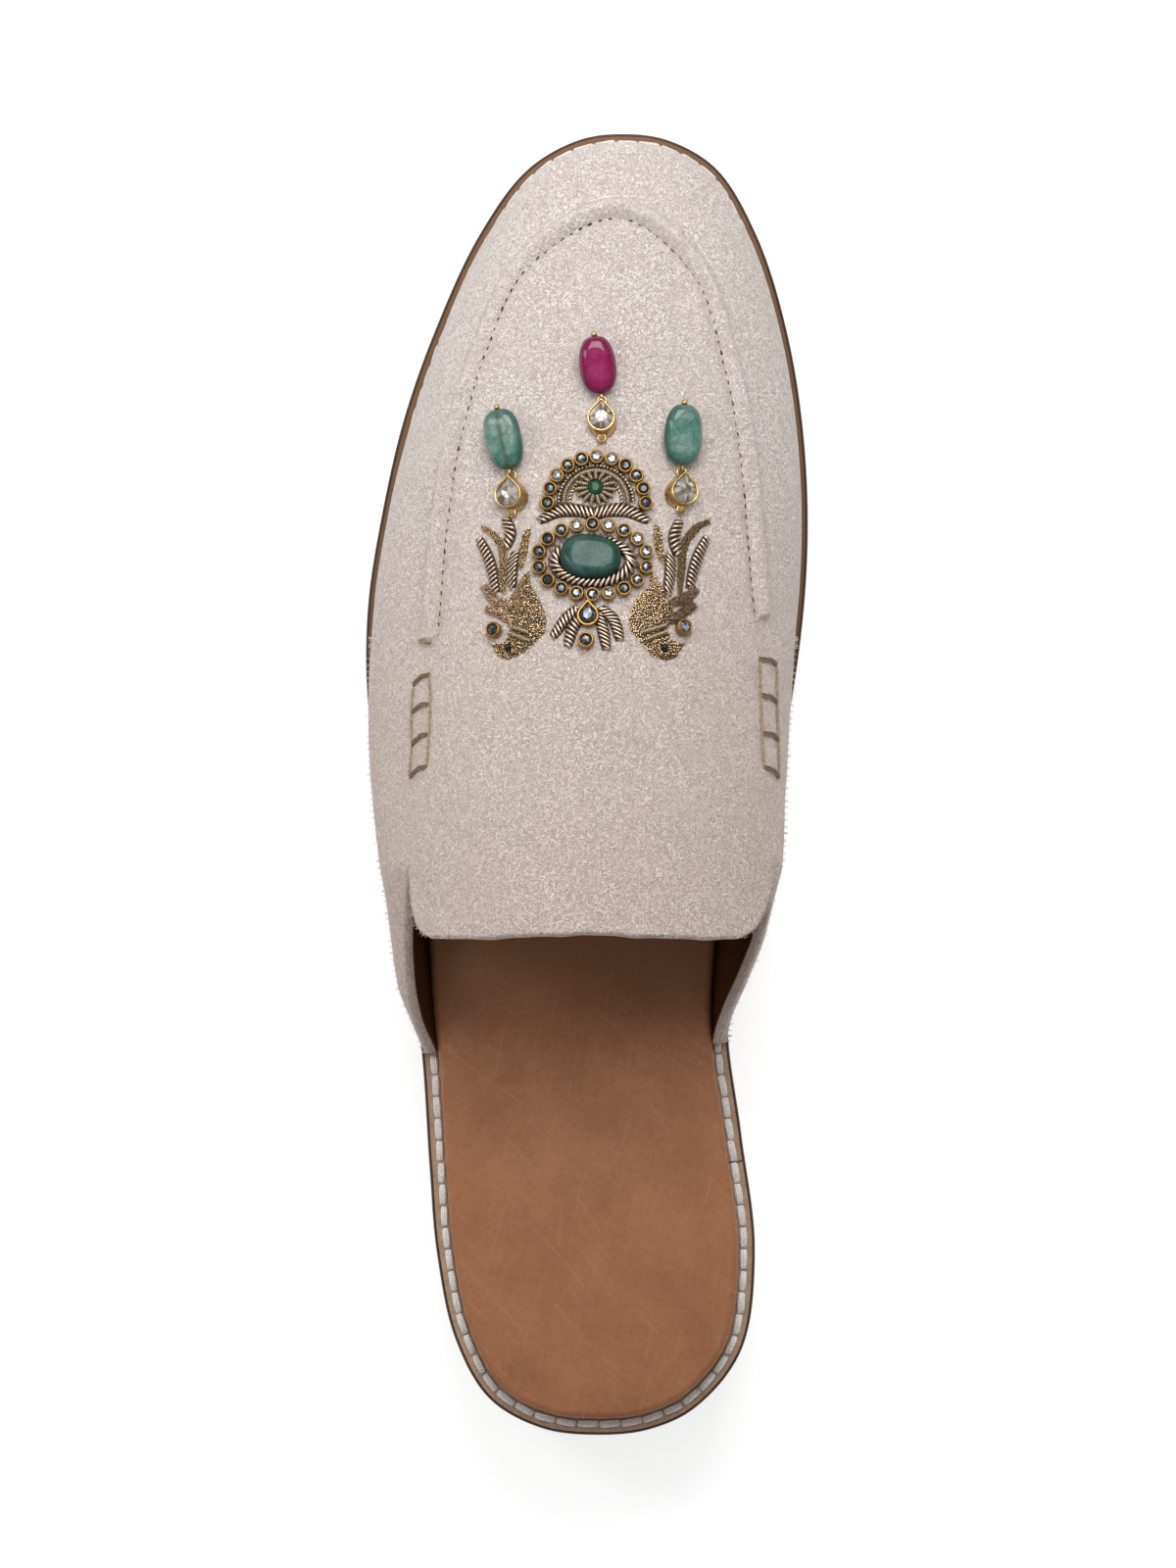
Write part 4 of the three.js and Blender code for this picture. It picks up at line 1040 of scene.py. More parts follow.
@dataclass(frozen=True)
class Metal:
    """Metal thread or a cast setting: bright on its raised parts and dark in its hollows and on the flanks
    of its wires, partly tarnished metal and partly painted shade.
    """

    name: str
    colour: str
    tarnish_and_shade: str
    roughness: float = 0.35
    hollow_mm: float = 0.5
    beaten_mm: float = 0.9
    beaten: float = 0.2
    # Share by which random copies are darkened: painted shade and glint contrast between chips.
    uneven: float = 0.0

    def make(self) -> bpy.types.Material:
        """Build the material and return it."""
        material, add = start_material(self.name)
        place = add("ShaderNodeTexCoord").outputs["Object"]
        # Ambient occlusion mixes the dark colour into hollows and onto flanks: partly tarnished metal,
        # partly painted shade.
        open_sky = add("ShaderNodeAmbientOcclusion", {"Distance": self.hollow_mm * MM},
                       samples=4).outputs["AO"]
        share = add("ShaderNodeMapRange", {"Value": open_sky, "From Min": 0.42, "From Max": 0.92})
        # A random value per copy darkens some copies: painted shade and glint contrast between chips.
        tint = add("ShaderNodeAttribute", attribute_name="tint").outputs["Fac"]
        chip_shade = add("ShaderNodeMapRange", {"Value": tint, "To Min": 1.0, "To Max": 1 - self.uneven})
        bright_share = add("ShaderNodeMath", {0: share.outputs[0], 1: chip_shade.outputs[0]}, operation="MULTIPLY")
        dents = add("ShaderNodeTexNoise", {
            "Vector": place, "Scale": 1 / (self.beaten_mm * MM), "Detail": 2.0}).outputs["Fac"]
        shine = add("ShaderNodeMapRange", {
            "Value": dents, "From Min": 0.3, "From Max": 0.7, "To Min": self.roughness - 0.1,
            "To Max": self.roughness + 0.1})
        bump = add("ShaderNodeBump", {"Height": dents, "Strength": self.beaten, "Distance": 0.2 * MM})
        return end_material(material, {
            "Base Color": layered(add, self.tarnish_and_shade, [(bright_share.outputs[0], self.colour)]), "Metallic": 0.9,
            "Roughness": shine.outputs[0], "Normal": bump.outputs[0]})


@dataclass(frozen=True)
class Thread:
    """Spun thread: matt strands whose twist shows as fine lines."""

    name: str
    colour: str
    shade: str
    roughness: float = 0.6
    twist_mm: float = 0.35

    def make(self) -> bpy.types.Material:
        """Build the material and return it."""
        material, add = start_material(self.name)
        place = add("ShaderNodeTexCoord").outputs["Object"]
        strands = add("ShaderNodeTexNoise", {
            "Vector": place, "Scale": 1 / (self.twist_mm * MM), "Detail": 3.0,
            "Distortion": 1.2}).outputs["Fac"]
        share = add("ShaderNodeMapRange", {"Value": strands, "From Min": 0.35, "From Max": 0.65})
        bump = add("ShaderNodeBump", {"Height": strands, "Strength": 0.5, "Distance": 0.12 * MM})
        return end_material(material, {
            "Base Color": layered(add, self.shade, [(share.outputs[0], self.colour)]),
            "Roughness": self.roughness, "Normal": bump.outputs[0]})


@dataclass(frozen=True)
class Gem:
    """Tumbled stone: glassy skin over a cloudy, veined body that lets a little light through, darkened
    towards its rim by painted shade.
    """

    name: str
    colour: str
    cloud: str
    vein_and_rim_shade: str
    roughness: float = 0.12
    cloud_mm: float = 4.0
    vein_mm: float = 2.6
    depth_mm: float = 1.2
    bore: str = "#4e5238"
    rim_shade: float = 0.8
    gloss: float = 0.3

    def make(self) -> bpy.types.Material:
        """Build the material and return it."""
        material, add = start_material(self.name)
        place = add("ShaderNodeTexCoord").outputs["Object"]
        clouds = add("ShaderNodeTexNoise", {
            "Vector": place, "Scale": 1 / (self.cloud_mm * MM), "Detail": 4.0, "Roughness": 0.6,
            "Distortion": 0.8})
        share = add("ShaderNodeMapRange", {"Value": clouds.outputs["Fac"], "From Min": 0.38,
                                           "From Max": 0.64})
        cracks = add("ShaderNodeTexVoronoi", {
            "Vector": place, "Scale": 1 / (self.vein_mm * MM)},
            feature="DISTANCE_TO_EDGE").outputs["Distance"]
        line = add("ShaderNodeMapRange", {"Value": cracks, "From Max": 0.05, "To Min": 0.5, "To Max": 0.0})
        bore, rim = (add("ShaderNodeAttribute", attribute_name=name).outputs["Fac"]
                     for name in ("bore", "rim"))
        # Towards the rim the colour moves to the dark colour of the veins: painted shade.
        rim_shade = add("ShaderNodeMapRange", {"Value": rim, "To Max": self.rim_shade})
        return end_material(material, {
            "Base Color": layered(add, self.colour, (
                (share.outputs[0], self.cloud), (line.outputs[0], self.vein_and_rim_shade), (bore, self.bore),
                (rim_shade.outputs[0], self.vein_and_rim_shade))),
            "Roughness": self.roughness, "Specular IOR Level": self.gloss, "Coat Weight": self.gloss * 0.7,
            "Coat Roughness": 0.05, "Subsurface Weight": 0.45, "Subsurface Scale": self.depth_mm * MM,
            "Subsurface Radius": (1.0, 1.0, 1.0)})


@dataclass(frozen=True)
class FoiledStone:
    """Clear flat-cut stone over foil, with painted reflections: a random brightness for each facet and each
    copy moves its colour from dark to bright.
    """

    name: str
    dark: str
    bright: str
    turning: float = 0.5

    def make(self) -> bpy.types.Material:
        """Build the material and return it."""
        material, add = start_material(self.name)
        tint, facet = (add("ShaderNodeAttribute", attribute_name=name).outputs["Fac"]
                       for name in ("tint", "facet"))
        # Random values per facet and per copy: bright facets are painted highlights, dark ones painted
        # shade.
        turned_up = add("ShaderNodeMix", {"Factor": 0.45, 2: tint, 3: facet})
        share = add("ShaderNodeMapRange", {
            "Value": turned_up.outputs[0], "From Min": self.turning - 0.2, "From Max": self.turning + 0.2})
        return end_material(material, {
            "Base Color": layered(add, self.dark, [(share.outputs[0], self.bright)]), "Metallic": 0.35,
            "Roughness": 0.08, "Coat Weight": 0.4, "Coat Roughness": 0.02})


def start_tree(name: str, inputs: dict[str, str]) -> tuple[bpy.types.NodeTree, Callable,
                                                           bpy.types.NodeOutputs]:
    """Start a Geometry Nodes tree with named inputs.

    Args:
        name: Name of the tree.
        inputs: Name of each input, with its kind of socket.

    Returns:
        The tree, the function that adds a node to it, and its inputs.
    """
    tree = bpy.data.node_groups.new(name, "GeometryNodeTree")
    for label, kind in {"Geometry": "Geometry", **inputs}.items():
        tree.interface.new_socket(label, in_out="INPUT", socket_type=f"NodeSocket{kind}")
    tree.interface.new_socket("Geometry", in_out="OUTPUT", socket_type="NodeSocketGeometry")
    add = partial(add_node, tree)
    return tree, add, add("NodeGroupInput").outputs


def end_tree(add: Callable, geometry: bpy.types.NodeSocket, finish: bpy.types.NodeSocket) -> None:
    """End a tree: copies become real geometry and get their material.

    Args:
        add: Function that adds a node to the tree.
        geometry: What it has made.
        finish: Its material input.
    """
    real = add("GeometryNodeRealizeInstances", {"Geometry": geometry})
    done = add("GeometryNodeSetMaterial", {"Geometry": real.outputs[0], "Material": finish})
    add("NodeGroupOutput", {"Geometry": done.outputs[0]})


@cache
def pieces_tree(scattered: bool) -> bpy.types.NodeTree:
    """Build the tree that sets copies of a template on points, or scatters them over patches.

    The carrier's attributes say how each copy stands: "up", "along" and "size".

    Args:
        scattered: Whether the points are found on the carrier's faces.

    Returns:
        The tree.
    """
    tree, add, given = start_tree("scattered_pieces" if scattered else "set_pieces", {
        "Template": "Object", "Finish": "Material", "Spacing": "Float", "Turn": "Float", "Vary": "Float",
        "Seed": "Int"})
    points = given["Geometry"]
    if scattered:
        square = add("ShaderNodeMath", {0: given["Spacing"], 1: -2.0}, operation="POWER")
        crowd = add("ShaderNodeMath", {0: square.outputs[0], 1: 4.0}, operation="MULTIPLY")
        points = add("GeometryNodeDistributePointsOnFaces", {
            "Mesh": points, "Distance Min": given["Spacing"], "Density Max": crowd.outputs[0],
            "Seed": given["Seed"]}, distribute_method="POISSON").outputs["Points"]
    up, along = (add("GeometryNodeInputNamedAttribute", {"Name": name}, data_type="FLOAT_VECTOR").outputs[0]
                 for name in ("up", "along"))
    size = add("GeometryNodeInputNamedAttribute", {"Name": "size"}, data_type="FLOAT").outputs[0]
    stand = add("FunctionNodeAxesToRotation", {0: up, 1: along}, primary_axis="Z", secondary_axis="Y")
    back = add("ShaderNodeMath", {0: given["Turn"], 1: -1.0}, operation="MULTIPLY").outputs[0]
    least, most = (add("ShaderNodeMath", {0: 1.0, 1: given["Vary"]}, operation=kind).outputs[0]
                   for kind in ("SUBTRACT", "ADD"))
    angle, varied, tint = (
        add("FunctionNodeRandomValue", {2: low, 3: high, "Seed": given["Seed"]},
            data_type="FLOAT").outputs[1]
        for low, high in ((back, given["Turn"]), (least, most), (0.0, 1.0)))
    spin = add("FunctionNodeAxisAngleToRotation", {"Axis": (0.0, 0.0, 1.0), "Angle": angle})
    turned_by = add("FunctionNodeRotateRotation", {
        0: stand.outputs[0], 1: spin.outputs[0]}, rotation_space="LOCAL")
    scale = add("ShaderNodeMath", {0: varied, 1: size}, operation="MULTIPLY")
    template = add("GeometryNodeObjectInfo", {"Object": given["Template"]})
    copies = add("GeometryNodeInstanceOnPoints", {
        "Points": points, "Instance": template.outputs["Geometry"], "Rotation": turned_by.outputs[0],
        "Scale": scale.outputs[0]})
    # A random value for each copy, which the materials turn into painted shade and painted reflection.
    tinted = add("GeometryNodeStoreNamedAttribute", {
        "Geometry": copies.outputs[0], "Name": "tint", "Value": tint}, data_type="FLOAT", domain="INSTANCE")
    end_tree(add, tinted.outputs[0], given["Finish"])
    return tree


def coil_tree() -> bpy.types.NodeTree:
    """Build the tree that winds wire along paths.

    The carrier's attributes say which way is "up" and how far the coil's sides "reach".

    Returns:
        The tree.
    """
    tree, add, given = start_tree("wound_coil", {
        "Finish": "Material", "Pitch": "Float", "Wire": "Float", "Flat": "Float", "Slant": "Float",
        "Hand": "Float"})
    steps_a_turn = 14.0
    line = add("GeometryNodeMeshToCurve", {"Mesh": given["Geometry"]})
    step = add("ShaderNodeMath", {0: given["Pitch"], 1: steps_a_turn}, operation="DIVIDE")
    fine = add("GeometryNodeResampleCurve", {"Curve": line.outputs[0], "Length": step.outputs[0]},
               mode="LENGTH")
    length = add("GeometryNodeSplineParameter").outputs["Length"]
    angle = add("ShaderNodeMath", {0: length, 1: given["Pitch"]}, operation="DIVIDE").outputs[0]
    for factor in (given["Hand"], math.tau):
        angle = add("ShaderNodeMath", {0: angle, 1: factor}, operation="MULTIPLY").outputs[0]
    across, rise = (add("ShaderNodeMath", {0: angle}, operation=kind).outputs[0]
                    for kind in ("COSINE", "SINE"))
    up = add("GeometryNodeInputNamedAttribute", {"Name": "up"}, data_type="FLOAT_VECTOR").outputs[0]
    reach = add("GeometryNodeInputNamedAttribute", {"Name": "reach"}, data_type="FLOAT").outputs[0]
    along = add("GeometryNodeInputTangent").outputs[0]
    side = add("ShaderNodeVectorMath", {0: up, 1: along}, operation="CROSS_PRODUCT").outputs[0]
    swing = add("ShaderNodeMath", {0: across, 1: reach}, operation="MULTIPLY").outputs[0]
    lean = add("ShaderNodeMath", {0: swing, 1: given["Slant"]}, operation="MULTIPLY").outputs[0]
    height = add("ShaderNodeMath", {0: rise, 1: 1.0}, operation="ADD").outputs[0]
    for factor in (reach, given["Flat"]):
        height = add("ShaderNodeMath", {0: height, 1: factor}, operation="MULTIPLY").outputs[0]
    offset, *others = (add("ShaderNodeVectorMath", {0: axis, "Scale": amount}, operation="SCALE").outputs[0]
                       for axis, amount in ((side, swing), (along, lean), (up, height)))
    for other in others:
        offset = add("ShaderNodeVectorMath", {0: offset, 1: other}, operation="ADD").outputs[0]
    wound = add("GeometryNodeSetPosition", {"Geometry": fine.outputs[0], "Offset": offset})
    round_wire = add("GeometryNodeCurvePrimitiveCircle", {"Resolution": 6, "Radius": given["Wire"]})
    wire = add("GeometryNodeCurveToMesh", {
        "Curve": wound.outputs[0], "Profile Curve": round_wire.outputs[0], "Fill Caps": True})
    smooth = add("GeometryNodeSetShadeSmooth", {"Geometry": wire.outputs[0]})
    end_tree(add, smooth.outputs[0], given["Finish"])
    return tree


def make_carrier(points: np.ndarray, edges: Sequence, faces: Sequence,
                 **values: np.ndarray) -> bpy.types.Object:
    """Make the mesh that carries a tree, with its attributes.

    Args:
        points: Points in millimetres.
        edges: Edges of its paths.
        faces: Faces of its patches.
        values: Value of each attribute at each point; a plain number holds for all.

    Returns:
        The carrier, linked to the scene.
    """
    mesh = bpy.data.meshes.new("carrier")
    mesh.from_pydata((points * MM).tolist(), [tuple(map(int, e)) for e in edges],
                     [tuple(map(int, f)) for f in faces])
    for name, value in values.items():
        value = np.asarray(value, float)
        vector = value.ndim == 2
        spread = value if vector else np.broadcast_to(value, len(points))
        attribute = mesh.attributes.new(name, "FLOAT_VECTOR" if vector else "FLOAT", "POINT")
        attribute.data.foreach_set("vector" if vector else "value", np.ascontiguousarray(spread).ravel())
    carrier = bpy.data.objects.new("carrier", mesh)
    bpy.context.scene.collection.objects.link(carrier)
    return carrier


def grow(name: str, carrier: bpy.types.Object, tree: bpy.types.NodeTree, **inputs) -> bpy.types.Object:
    """Run a tree on a carrier and keep what it makes as a plain mesh.

    Args:
        name: Name of the piece.
        carrier: Mesh with the points, paths or patches; it is removed afterwards.
        tree: The tree.
        inputs: Value of each of its inputs.

    Returns:
        The piece, linked to the scene.
    """
    modifier = carrier.modifiers.new("grow", "NODES")
    modifier.node_group = tree
    sockets = {item.name: item.identifier for item in tree.interface.items_tree
               if item.item_type == "SOCKET" and item.in_out == "INPUT"}
    for label, value in inputs.items():
        modifier[sockets[label]] = value
    bpy.context.view_layer.update()
    seen = carrier.evaluated_get(bpy.context.evaluated_depsgraph_get())
    mesh = bpy.data.meshes.new_from_object(seen)
    mesh.name = name
    piece = bpy.data.objects.new(name, mesh)
    bpy.context.scene.collection.objects.link(piece)
    spent = [carrier, *(value for value in inputs.values() if isinstance(value, bpy.types.Object))]
    for thing in spent:
        bpy.data.objects.remove(thing)
    return piece


def set_pieces(name: str, template: bpy.types.Object, points: np.ndarray, up: np.ndarray, along: np.ndarray,
               turn: float, vary: float, seed: int, size: np.ndarray | float = 1.0) -> bpy.types.Object:
    """Set a copy of a template on each point.

    Args:
        name: Name of the piece.
        template: What is copied; it is removed afterwards.
        points: Where the copies stand.
        up: Direction in which each one stands.
        along: Direction of each one's length.
        turn: How far a copy may turn from that, in radians.
        vary: How far its size may differ, as a share.
        seed: Seed of the differences.
        size: Size of each copy.

    Returns:
        The piece.
    """
    if along.shape[1] == 2:
        along = np.column_stack([along, 0 * along[:, 0]])
    carrier = make_carrier(points, [], [], up=up, along=along, size=size)
    return grow(name, carrier, pieces_tree(False), Template=template, Finish=template.data.materials[0],
                Turn=turn,
                Vary=vary, Seed=seed)


def ring_faces(rings: int, sides: int, first: int = 0, around: bool = False) -> list[tuple[int, ...]]:
    """Join rings of points, each with the next.

    Args:
        rings: Number of rings.
        sides: Number of points in a ring.
        first: Number of the first point.
        around: Whether the last ring joins the first.

    Returns:
        The faces, ring by ring.
    """
    faces = []
    for i in range(rings if around else rings - 1):
        low, high = first + i * sides, first + (i + 1) % rings * sides
        faces.extend((low + k, low + (k + 1) % sides, high + (k + 1) % sides,
                      high + k) for k in range(sides))
    return faces


def turned(profile: Sequence[tuple[float, float]], segments: int) -> Shape:
    """Turn a profile round the upright axis.

    Args:
        profile: Radius and height of each step, from the bottom to the top, both ends on the axis.
        segments: Number of steps round it.

    Returns:
        Points and faces.
    """
    points = [ring(radius, segments) + (0, 0, height) for radius, height in profile[1:-1]]
    ends = [np.array([[0, 0, profile[i][1]]]) for i in (0, -1)]
    last = 1 + (len(points) - 1) * segments
    faces = ring_faces(len(points), segments, 1)
    for k in range(segments):
        after = (k + 1) % segments
        faces.append((0, 1 + after, 1 + k))
        faces.append((last + k, last + after, last + segments))
    return np.vstack([ends[0], *points, ends[1]]), faces


def tube(path: np.ndarray, radius: float, closed: bool = False, sides: int = 8) -> Shape:
    """Make a round wire along a path.

    Args:
        path: Points of its middle.
        radius: Radius of the wire.
        closed: Whether it comes back to its start.
        sides: Number of sides.

    Returns:
        Points and faces.
    """
    along = np.roll(path, -1, axis=0) - np.roll(path, 1, axis=0) if closed else np.gradient(path, axis=0)
    along = unit(along)
    guide = np.array([0.31, 0.17, 0.94]) if abs(along[0, 2]) < 0.8 else np.array([0.9, 0.3, 0.1])
    side = unit(np.cross(along, guide))
    other = np.cross(along, side)
    angles = np.arange(sides) * math.tau / sides
    rings = [path + radius * (side * math.cos(a) + other * math.sin(a)) for a in angles]
    faces = ring_faces(len(path), sides, around=closed)
    if not closed:
        faces.append(tuple(range(sides))[::-1])
        faces.append(tuple(range((len(path) - 1) * sides, len(path) * sides)))
    return np.stack(rings, axis=1).reshape(-1, 3), faces


def joined(parts: Sequence[Shape]) -> Shape:
    """Put several shapes into one."""
    faces: list[tuple[int, ...]] = []
    start = 0
    for points, own in parts:
        faces.extend(tuple(int(corner) + start for corner in face) for face in own)
        start += len(points)
    return np.vstack([points for points, _ in parts]), faces


def ring(radius: float, steps: int = 20) -> np.ndarray:
    """Give a level circle round the origin."""
    angles = np.arange(steps) * math.tau / steps
    return np.column_stack([radius * np.cos(angles), radius * np.sin(angles), np.zeros(steps)])


@dataclass(frozen=True)
class Seat:
    """A place with its own axes: across, towards the toe and standing on the leather."""

    origin: np.ndarray
    axes: np.ndarray

    @classmethod
    def on_vamp(cls, x: float, y: float, heading: float = 0.0) -> "Seat":
        """Stand a seat on the vamp.

        Args:
            x: Place across.
            y: Place along.
            heading: Turn of its length towards the medial side, in degrees.

        Returns:
            The seat.
        """
        step = np.array([0.0, 0.5])
        place = np.array([[x, y]])
        normal = LAST.vamp_normal(place)[0]
        along = unit(LAST.on_vamp(place + step)[0] - LAST.on_vamp(place - step)[0])
        right = np.cross(along, normal)
        turn = math.radians(heading)
        axes = np.array([right * math.cos(turn) - along * math.sin(turn),
                         along * math.cos(turn) + right * math.sin(turn), normal])
        return cls(LAST.on_vamp(place)[0], axes)

    def place(self, points: np.ndarray) -> np.ndarray:
        """Bring points from the seat's axes into the shoe's."""
        return self.origin + np.asarray(points, float) @ self.axes

    def shape(self, shape: Shape) -> Shape:
        """Bring a shape from the seat's axes into the shoe's."""
        return self.place(shape[0]), shape[1]

    def tipped(self, degrees: float) -> "Seat":
        """Lift the far end of the seat by an angle."""
        c, s = math.cos(math.radians(degrees)), math.sin(math.radians(degrees))
        right, along, up = self.axes
        return Seat(self.origin, np.array([right, along * c + up * s, up * c - along * s]))


def from_photo(*points: tuple[float, float]) -> np.ndarray:
    """Turn places in the photograph into places in the shoe's plan.

    Args:
        points: Places in the photograph's own pixels.

    Returns:
        Places across and along, in millimetres.
    """
    return (np.array(points, float) - PHOTO_ORIGIN) * (MM_A_PIXEL, -MM_A_PIXEL)


@dataclass(frozen=True)
class Strand:
    """Something sewn along a path on the vamp, from its thick end to its tip."""

    path: tuple[tuple[float, float], ...]
    width: float
    pitch: float = 0.85
    slant: float = 0.7
    hand: Hand = Hand.RIGHT
    blunt: float = 0.35
    root: float = 0.0

    def plan(self) -> np.ndarray:
        """Give the path in the shoe's plan."""
        return curve_through(from_photo(*self.path), False, 40)

    def widths(self, count: int) -> np.ndarray:
        """Give half its width at steps along it, fullest in its middle."""
        share = np.linspace(0, 1, count)
        swell = np.clip(np.sin(np.pi * share), 0, 1) ** 0.5
        swell = np.maximum(swell, self.root * np.sqrt(1 - share))
        return self.width / 2 * (self.blunt + (1 - self.blunt) * swell)

    def outline(self) -> np.ndarray:
        """Give its outline in the shoe's plan."""
        plan = self.plan()
        along = unit(np.gradient(plan, axis=0))
        side = np.column_stack([-along[:, 1], along[:, 0]]) * self.widths(len(plan))[:, None]
        return np.vstack([plan + side, (plan - side)[::-1]])


@dataclass
class Embroidery:
    """Metal-thread work on the vamp: padded shapes, wound coils over them and chips of coil."""

    grid: float = 0.7
    shoulder: float = 0.9
    wire_share: float = 0.36
    chip_radius: float = 0.14

    def __post_init__(self) -> None:
        """Make the trees and the finishes of the work."""
        self.coils = coil_tree()
        self.chips = pieces_tree(True)
        # The near-black second colours are partly tarnished metal and partly painted shade in hollows; the
        # uneven shares darken random chips as painted shade.
        self.bronze = Metal("antique_bronze_coil", "#d6bba5", "#160d07", roughness=0.3, hollow_mm=0.7).make()
        self.bright = Metal("pale_gold_coil", "#d3bb9b", "#1c120a", roughness=0.3, hollow_mm=0.6).make()
        self.chipped = Metal("gold_coil_chips", "#ecc595", "#1a0e07", roughness=0.25, hollow_mm=0.3,
                             uneven=0.55).make()
        self.purl = Metal("tarnished_and_shaded_purl_coil", "#cfa88a", "#1a0e08", roughness=0.28, hollow_mm=0.3,
                          uneven=0.5).make()
        # Its dark colour is partly the real pad thread and partly painted shade in the gaps between the
        # strands.
        self.padding_shade = Thread("dark_padding_thread", "#35251a", "#1f150d").make()

    def pad(self, name: str, outlines: Sequence[np.ndarray], puff: float, slot: str = "gold_thread") -> None:
        """Fill outlines with low cushions, which carry the work and close it from below; their dark thread
        paints the shade in the gaps between the strands.

        Args:
            name: Name of the piece.
            outlines: Outlines in the plan.
            puff: Height of a cushion well inside its outline.
            slot: Not used.
        """
        cushions = joined([self.cushion(outline, puff)[:2] for outline in outlines])
        finish_piece(make_object(name, cushions, [self.padding_shade], sharp=80))

    def cushion(self, outline: np.ndarray, puff: float) -> tuple[np.ndarray, list[tuple[int, ...]],
                                                                 np.ndarray]:
        """Make one cushion.

        Args:
            outline: Its outline in the plan.
            puff: Its height well inside the outline.

        Returns:
            Points, faces and the vamp's normals under the points.
        """
        low, high = outline.min(axis=0), outline.max(axis=0)
        grid = np.stack(np.meshgrid(*(np.arange(low[i], high[i], self.grid) for i in range(2))),
                        -1).reshape(-1, 2)
        ends = np.roll(outline, -1, axis=0)
        span = ends - outline
        square = np.maximum((span ** 2).sum(-1), 1e-9)
        share = np.clip(((grid[:, None] - outline) * span).sum(-1) / square, 0, 1)
        gap = np.linalg.norm(grid[:, None] - outline - share[..., None] * span, axis=-1).min(axis=1)
        above = (outline[:, 1] > grid[:, 1:2]) != (ends[:, 1] > grid[:, 1:2])
        slope = np.where(span[:, 1] == 0, 1e-9, span[:, 1])
        crossing_x = outline[:, 0] + (grid[:, 1:2] - outline[:, 1]) * span[:, 0] / slope
        inside = ((above & (grid[:, :1] < crossing_x)).sum(axis=1) % 2 == 1) & (gap > 0.3)
        plan = np.vstack([outline, grid[inside]])
        depth = np.concatenate([np.zeros(len(outline)), gap[inside]])
        edges = [(i, (i + 1) % len(outline)) for i in range(len(outline))]
        corners = [Vector(place) for place in plan.tolist()]
        flat, _, faces, origins, _, _ = delaunay_2d_cdt(corners, edges, [], 1, 1e-6)
        flat = np.array([tuple(p) for p in flat])
        near = np.array([depth[source[0]] if source else 0.0 for source in origins])
        normals = LAST.vamp_normal(flat)
        lift = 0.08 + puff * (1 - np.exp(-near / self.shoulder))
        return LAST.on_vamp(flat) + normals * lift[:, None], [tuple(face) for face in faces], normals

    def wind(self, name: str, strands: Sequence[Strand], lift: float, flat: float,
             finish: bpy.types.Material) -> None:
        """Wind coil along strands, one piece for each pitch, slant and hand.

        Args:
            name: Name of the pieces.
            strands: The strands.
            lift: Height of the coil's underside over the vamp.
            flat: Height of the coil as a share of its width.
            finish: Its material.
        """
        kinds = sorted({(s.pitch, s.slant, s.hand.value) for s in strands})
        for number, (pitch, slant, hand) in enumerate(kinds):
            wire = self.wire_share * pitch / math.hypot(1, slant)
            lines, ups, reaches, edges = [], [], [], []
            start = 0
            for strand in strands:
                if (strand.pitch, strand.slant, strand.hand.value) != (pitch, slant, hand):
                    continue
                plan = strand.plan()
                normals = LAST.vamp_normal(plan)
                lines.append(LAST.on_vamp(plan) + normals * (lift + wire))
                ups.append(normals)
                reaches.append(np.maximum(strand.widths(len(plan)) - wire, 0.08) * MM)
                edges.extend((start + i, start + i + 1) for i in range(len(plan) - 1))
                start += len(plan)
            carrier = make_carrier(np.vstack(lines), edges, [], up=np.vstack(ups),
                                   reach=np.concatenate(reaches))
            coil = grow(f"{name}_{number + 1}", carrier, self.coils, Finish=finish, Pitch=pitch * MM,
                        Wire=wire * MM, Flat=flat, Slant=slant, Hand=float(hand))
            finish_piece(coil)

    def chip_template(self) -> bpy.types.Object:
        """Make one chip: a short bent bit of coil, with its ribs."""
        share = np.linspace(-1, 1, 5)
        path = np.column_stack([0.05 * share ** 2, 0.26 * share, 0.2 - 0.1 * share ** 2])
        points, faces = tube(path, self.chip_radius, sides=5)
        ribs = np.repeat(np.where(np.arange(5) % 2 == 0, 0.8, 1.12), 5)[:, None]
        middle = np.repeat(path, 5, axis=0)
        return make_object("chip", (middle + (points - middle) * ribs, faces), [self.bronze], sharp=60)

    def chip(self, name: str, outlines: Sequence[np.ndarray], puff: float, spacing: float, seed: int,
             turn: float = math.pi, finish: bpy.types.Material | None = None,
             slot: str = "gold_thread") -> None:
        """Strew chips over cushions.

        Args:
            name: Name of the piece.
            outlines: Outlines in the plan.
            puff: Height of the cushions.
            spacing: Least distance between two chips.
            seed: Seed of their places.
            turn: How far a chip may turn from the cushion's own direction, in radians.
            finish: Its material, gold chips if none is given.
            slot: Not used.
        """
        parts = [self.cushion(outline, puff) for outline in outlines]
        points, faces = joined([part[:2] for part in parts])
        headings = [unit(outline[len(outline) // 2 - 1] - outline[0]) for outline in outlines]
        alongs = np.vstack([np.tile([*heading, 0.0], (len(part[0]), 1)) for part,
                            heading in zip(parts, headings)])
        carrier = make_carrier(points, [], faces, up=np.vstack([part[2] for part in parts]), along=alongs,
                               size=1.0)
        chips = grow(name, carrier, self.chips, Template=self.chip_template(), Finish=finish or self.chipped,
                     Spacing=spacing * MM, Turn=turn, Vary=0.3, Seed=seed)
        finish_piece(chips)


